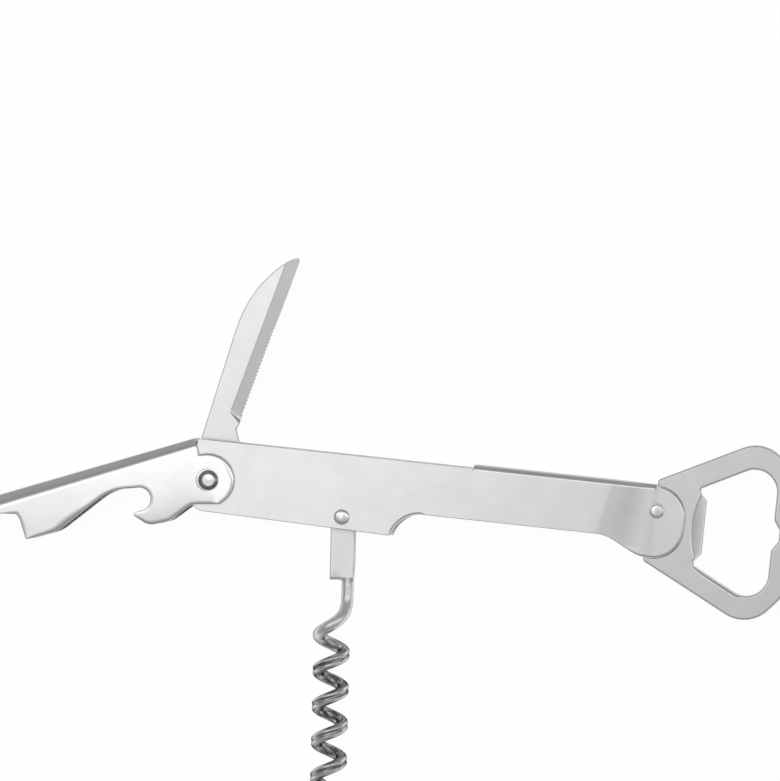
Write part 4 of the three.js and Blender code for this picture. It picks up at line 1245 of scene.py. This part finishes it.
# The sloped ring of the main rivet's head, between radii 1.5 and 2.4 mm, is painted darker as shade.
main_rivet = turned("main_rivet_turned", headed_profile(1.55, as_pairs(main_head)), MAIN_RIVET, headed,
                    shade_and_dull_between=(1.5, 2.4))
for vertex in main_rivet.data.vertices:
    proud = min(max((abs(vertex.co.z / MM - MIDDLE) - SHIFT_LEVEL) / SHIFT_OVER, 0), 1)
    vertex.co.x += HEAD_SHIFT * MM * proud
worm_head = [(1.85, 5.75), *dome(1.85, 5.76, 0.49)]
worm_pin = turned("worm_pin_turned", headed_profile(1.2, worm_head), WORM_PIN, headed)
flange = as_pairs(rounded_run([(1.8, 2.22), (1.8, 2.4, 0.12), (1.5, 2.4)]))
opener_head = [(1.8, 2.2), *flange, (1.44, 2.75), *dome(1.36, 2.8, 0.12)[1:]]
opener_rivet = turned("cap_opener_rivet_turned", headed_profile(1.0, opener_head), OPENER_RIVET, headed)

# %% [markdown]
# ## Which body each piece rides on
#
# The washers and spacers are made here as well, from one table.

# %% Dress the pieces
# Each ring: inner and outer radius, its two levels from the middle plane, and its place.
RINGS = {
    "lever_washer": (MAIN_BORE, 4.2, 5.8, 6.2, MAIN_RIVET),
    "knife_spacer": (MAIN_BORE, 2.38, 0.8, 4.6, MAIN_RIVET),
    "worm_spacer": (WORM_BORE, 2.03, 1.1, 4.6, WORM_PIN),
}


def dress(piece, material, body, slot, *nodes):
    """Gives a piece its finish and its body, and hides the CAD nodes it stands for."""
    print(piece.name, "rides on", body)
    piece.data.materials.clear()
    piece.data.materials.append(material)
    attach(piece, body)
    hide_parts(*nodes)


for label, (inner, outer, low, high, place) in RINGS.items():
    for side, levels in (("front", (low, high)), ("back", (-high, -low))):
        ring = turned(f"{label}_{side}_turned", ring_profile(inner, outer, *levels), place, plain)
        dress(ring, plain, "handle", "inner_steel", f"{label}_{side}")

dress(handle, satin, "handle", "satin_steel", "handle_channel")
dress(cap_opener, shaded_satin_plate, "handle", "satin_steel", "cap_opener_plate")
dress(lever, polished, "lever", "polished_steel", "boot_lever")
dress(knife, blade, "knife", "blade_steel", "foil_knife")
dress(wire, shaded_worm, "worm", "worm_steel", "corkscrew_worm")
dress(shank, pressed, "worm", "worm_steel", "corkscrew_worm")
dress(main_rivet, headed, "handle", "rivet_steel", "main_rivet")
dress(worm_pin, headed, "handle", "rivet_steel", "worm_pin")
dress(opener_rivet, headed, "handle", "rivet_steel", "cap_opener_rivet")

# %% [markdown]
# ## Camera
#
# The photograph looks almost straight down on the opener, from far away. So the lens is long, and the
# camera's right side is turned a few degrees from the handle's direction.

# %% Camera
CAMERA_RIGHT = Vector((0.99426, 0.10696, 0))
TO_CAMERA = Vector((0.0852, 0.0169, 1)).normalized()
AIM = Vector((41.206, 25.906, 13.9)) * MM
DISTANCE, VIEW_WIDTH, SENSOR = 4.0, 0.186435, 36

camera_data = bpy.data.cameras.new("camera")
camera = bpy.data.objects.new("camera", camera_data)
bpy.context.scene.collection.objects.link(camera)
level_right = (CAMERA_RIGHT - TO_CAMERA * CAMERA_RIGHT.dot(TO_CAMERA)).normalized()
camera.matrix_world = Matrix.Translation(AIM + TO_CAMERA * DISTANCE) @ Matrix(
    (level_right, TO_CAMERA.cross(level_right), TO_CAMERA)).transposed().to_4x4()
camera_data.sensor_width = SENSOR
camera_data.lens = SENSOR * DISTANCE / VIEW_WIDTH
camera_data.clip_end = 20
bpy.context.scene.camera = camera
print("lens:", round(camera_data.lens), "mm")

# %% [markdown]
# ## Floor
#
# The opener lies on white paper. To the camera and in reflections the paper glows almost white, and to
# all other light it stays a plain pale floor, so that it still takes the opener's soft shadow.

# %% Floor
PAPER, PAPER_ROUGHNESS, FLOOR_SIZE, FLOOR_GAP = (0.9, 0.9, 0.9, 1), 0.9, 6, 0.0001
SEEN_GLOW, MIRRORED_GLOW = 0.96, 0.75
WHITE = (1, 1, 1, 1)


def plane_with(name, size, location, label):
    """A plane with a new material of its own: the object and the material's node tree."""
    bpy.ops.mesh.primitive_plane_add(size=size, location=location)
    made = bpy.context.object
    made.name = name
    material = bpy.data.materials.new(label)
    material.use_nodes = True
    made.data.materials.append(material)
    return made, material.node_tree


floor, tree = plane_with("floor", FLOOR_SIZE, (0, 0, -FLOOR_GAP), "paper")
shader = tree.nodes["Principled BSDF"]
shader.inputs["Base Color"].default_value = PAPER
shader.inputs["Roughness"].default_value = PAPER_ROUGHNESS
path = add_node(tree, "ShaderNodeLightPath").outputs
glow = add_node(tree, "ShaderNodeEmission", {"Color": WHITE, "Strength": 1.0}).outputs[0]
mirrored = calc(tree, "MAXIMUM", path["Is Glossy Ray"], path["Is Transmission Ray"])
glowing = calc(tree, "MAXIMUM", product(tree, path["Is Camera Ray"], SEEN_GLOW),
               product(tree, mirrored, MIRRORED_GLOW))
mixed = add_node(tree, "ShaderNodeMixShader", {0: glowing, 1: shader.outputs[0], 2: glow}).outputs[0]
tree.links.new(mixed, tree.nodes["Material Output"].inputs["Surface"])
floor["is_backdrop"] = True
print("the floor is", FLOOR_SIZE, "m wide")

# %% [markdown]
# ## Light
#
# Polished steel shows what stands round it, so its look is mostly made by what it mirrors. A pale room
# and a weak sun give plain soft light. One large card over the opener carries a run of brighter and
# darker bands, and the flat sheets mirror it as the broad soft stripes of the photograph.

# %% Light
WORLD_LEVELS = ((0.0, 0.33), (0.3, 0.34), (0.55, 0.3), (0.8, 0.27), (1.0, 0.3))
CARD_LEVELS = ((-0.2, 0.66), (-0.1, 0.82), (-0.07, 0.98), (-0.03, 0.94), (0.01, 0.88), (0.035, 0.64),
               (0.06, 0.43), (0.13, 0.48), (0.25, 0.6), (0.4, 0.64))
CARD_PLACE, CARD_SCALE, CARD_STRENGTH, CARD_SLOPE = (0.45, 0.02, 0.6), (1.8, 0.8, 1), 1.23, 3.2
CARD_LEAST, CARD_MOST, FADE_START, FADE_END, FADED = 0.55, 1.3, 0.12, 0.38, 0.28
SUN_STRENGTH, SUN_WIDTH, SUN_TILT = 1.8, 40, (-12, -14, 0)


def grey_ramp(tree, value, levels):
    """A colour ramp of greys, from (place, level) pairs whose places run from the first to the last."""
    made = add_node(tree, "ShaderNodeValToRGB", {"Fac": value})
    stops = made.color_ramp.elements
    start, reach = levels[0][0], levels[-1][0] - levels[0][0]
    for i, (place, grey) in enumerate(levels):
        last = i == len(levels) - 1
        stop = stops[0] if i == 0 else stops[-1] if last else stops.new((place - start) / reach)
        stop.color = (grey, grey, grey, 1)
    return made.outputs[0]


world = bpy.data.worlds.new("studio")
bpy.context.scene.world = world
world.use_nodes = True
tree = world.node_tree
direction = add_node(tree, "ShaderNodeTexCoord").outputs["Generated"]
up = add_node(tree, "ShaderNodeSeparateXYZ", {"Vector": direction}).outputs["Z"]
tree.links.new(grey_ramp(tree, up, WORLD_LEVELS), tree.nodes["Background"].inputs["Color"])
bpy.context.scene.view_settings.view_transform = "Standard"

card, tree = plane_with("light_card", 1, CARD_PLACE, "lit card")
card.scale = CARD_SCALE
card.visible_camera = False
card.visible_shadow = False
position = add_node(tree, "ShaderNodeNewGeometry").outputs["Position"]
spot = add_node(tree, "ShaderNodeSeparateXYZ", {"Vector": position}).outputs
low, high = CARD_LEVELS[0][0], CARD_LEVELS[-1][0]
along_card = calc(tree, "DIVIDE", calc(tree, "SUBTRACT", spot["X"], low), high - low)
bands = product(tree, grey_ramp(tree, along_card, CARD_LEVELS), CARD_STRENGTH)
level = calc(tree, "ADD", bands, product(tree, spot["Y"], CARD_SLOPE))
level = calc(tree, "MINIMUM", calc(tree, "MAXIMUM", level, CARD_LEAST), CARD_MOST)
aside = calc(tree, "ABSOLUTE", calc(tree, "SUBTRACT", spot["Y"], CARD_PLACE[1]))
level = span(tree, aside, FADE_START, FADE_END, level, FADED, soft=True)
glow = add_node(tree, "ShaderNodeEmission", {"Color": WHITE, "Strength": level}).outputs[0]
tree.links.new(glow, tree.nodes["Material Output"].inputs["Surface"])
card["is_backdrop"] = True

lamp = bpy.data.lights.new("soft sun", "SUN")
lamp.energy, lamp.angle = SUN_STRENGTH, math.radians(SUN_WIDTH)
sun = bpy.data.objects.new("soft_sun", lamp)
sun.rotation_euler = [math.radians(degrees) for degrees in SUN_TILT]
sun.visible_glossy = False
bpy.context.scene.collection.objects.link(sun)
print("the card has", len(CARD_LEVELS), "bands")

# %% [markdown]
# ## Finish
#
# The dressed opener's box is measured against the CAD's box, and how far it grows on each side is printed.
# The dressed opener has to stay inside the CAD's box.

# %% Finish
dressed_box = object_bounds()
grown = [round((b - a) / MM, 3) for pair in zip(cad_box, dressed_box) for a, b in zip(*pair)]
print("box grows by (mm):", grown)
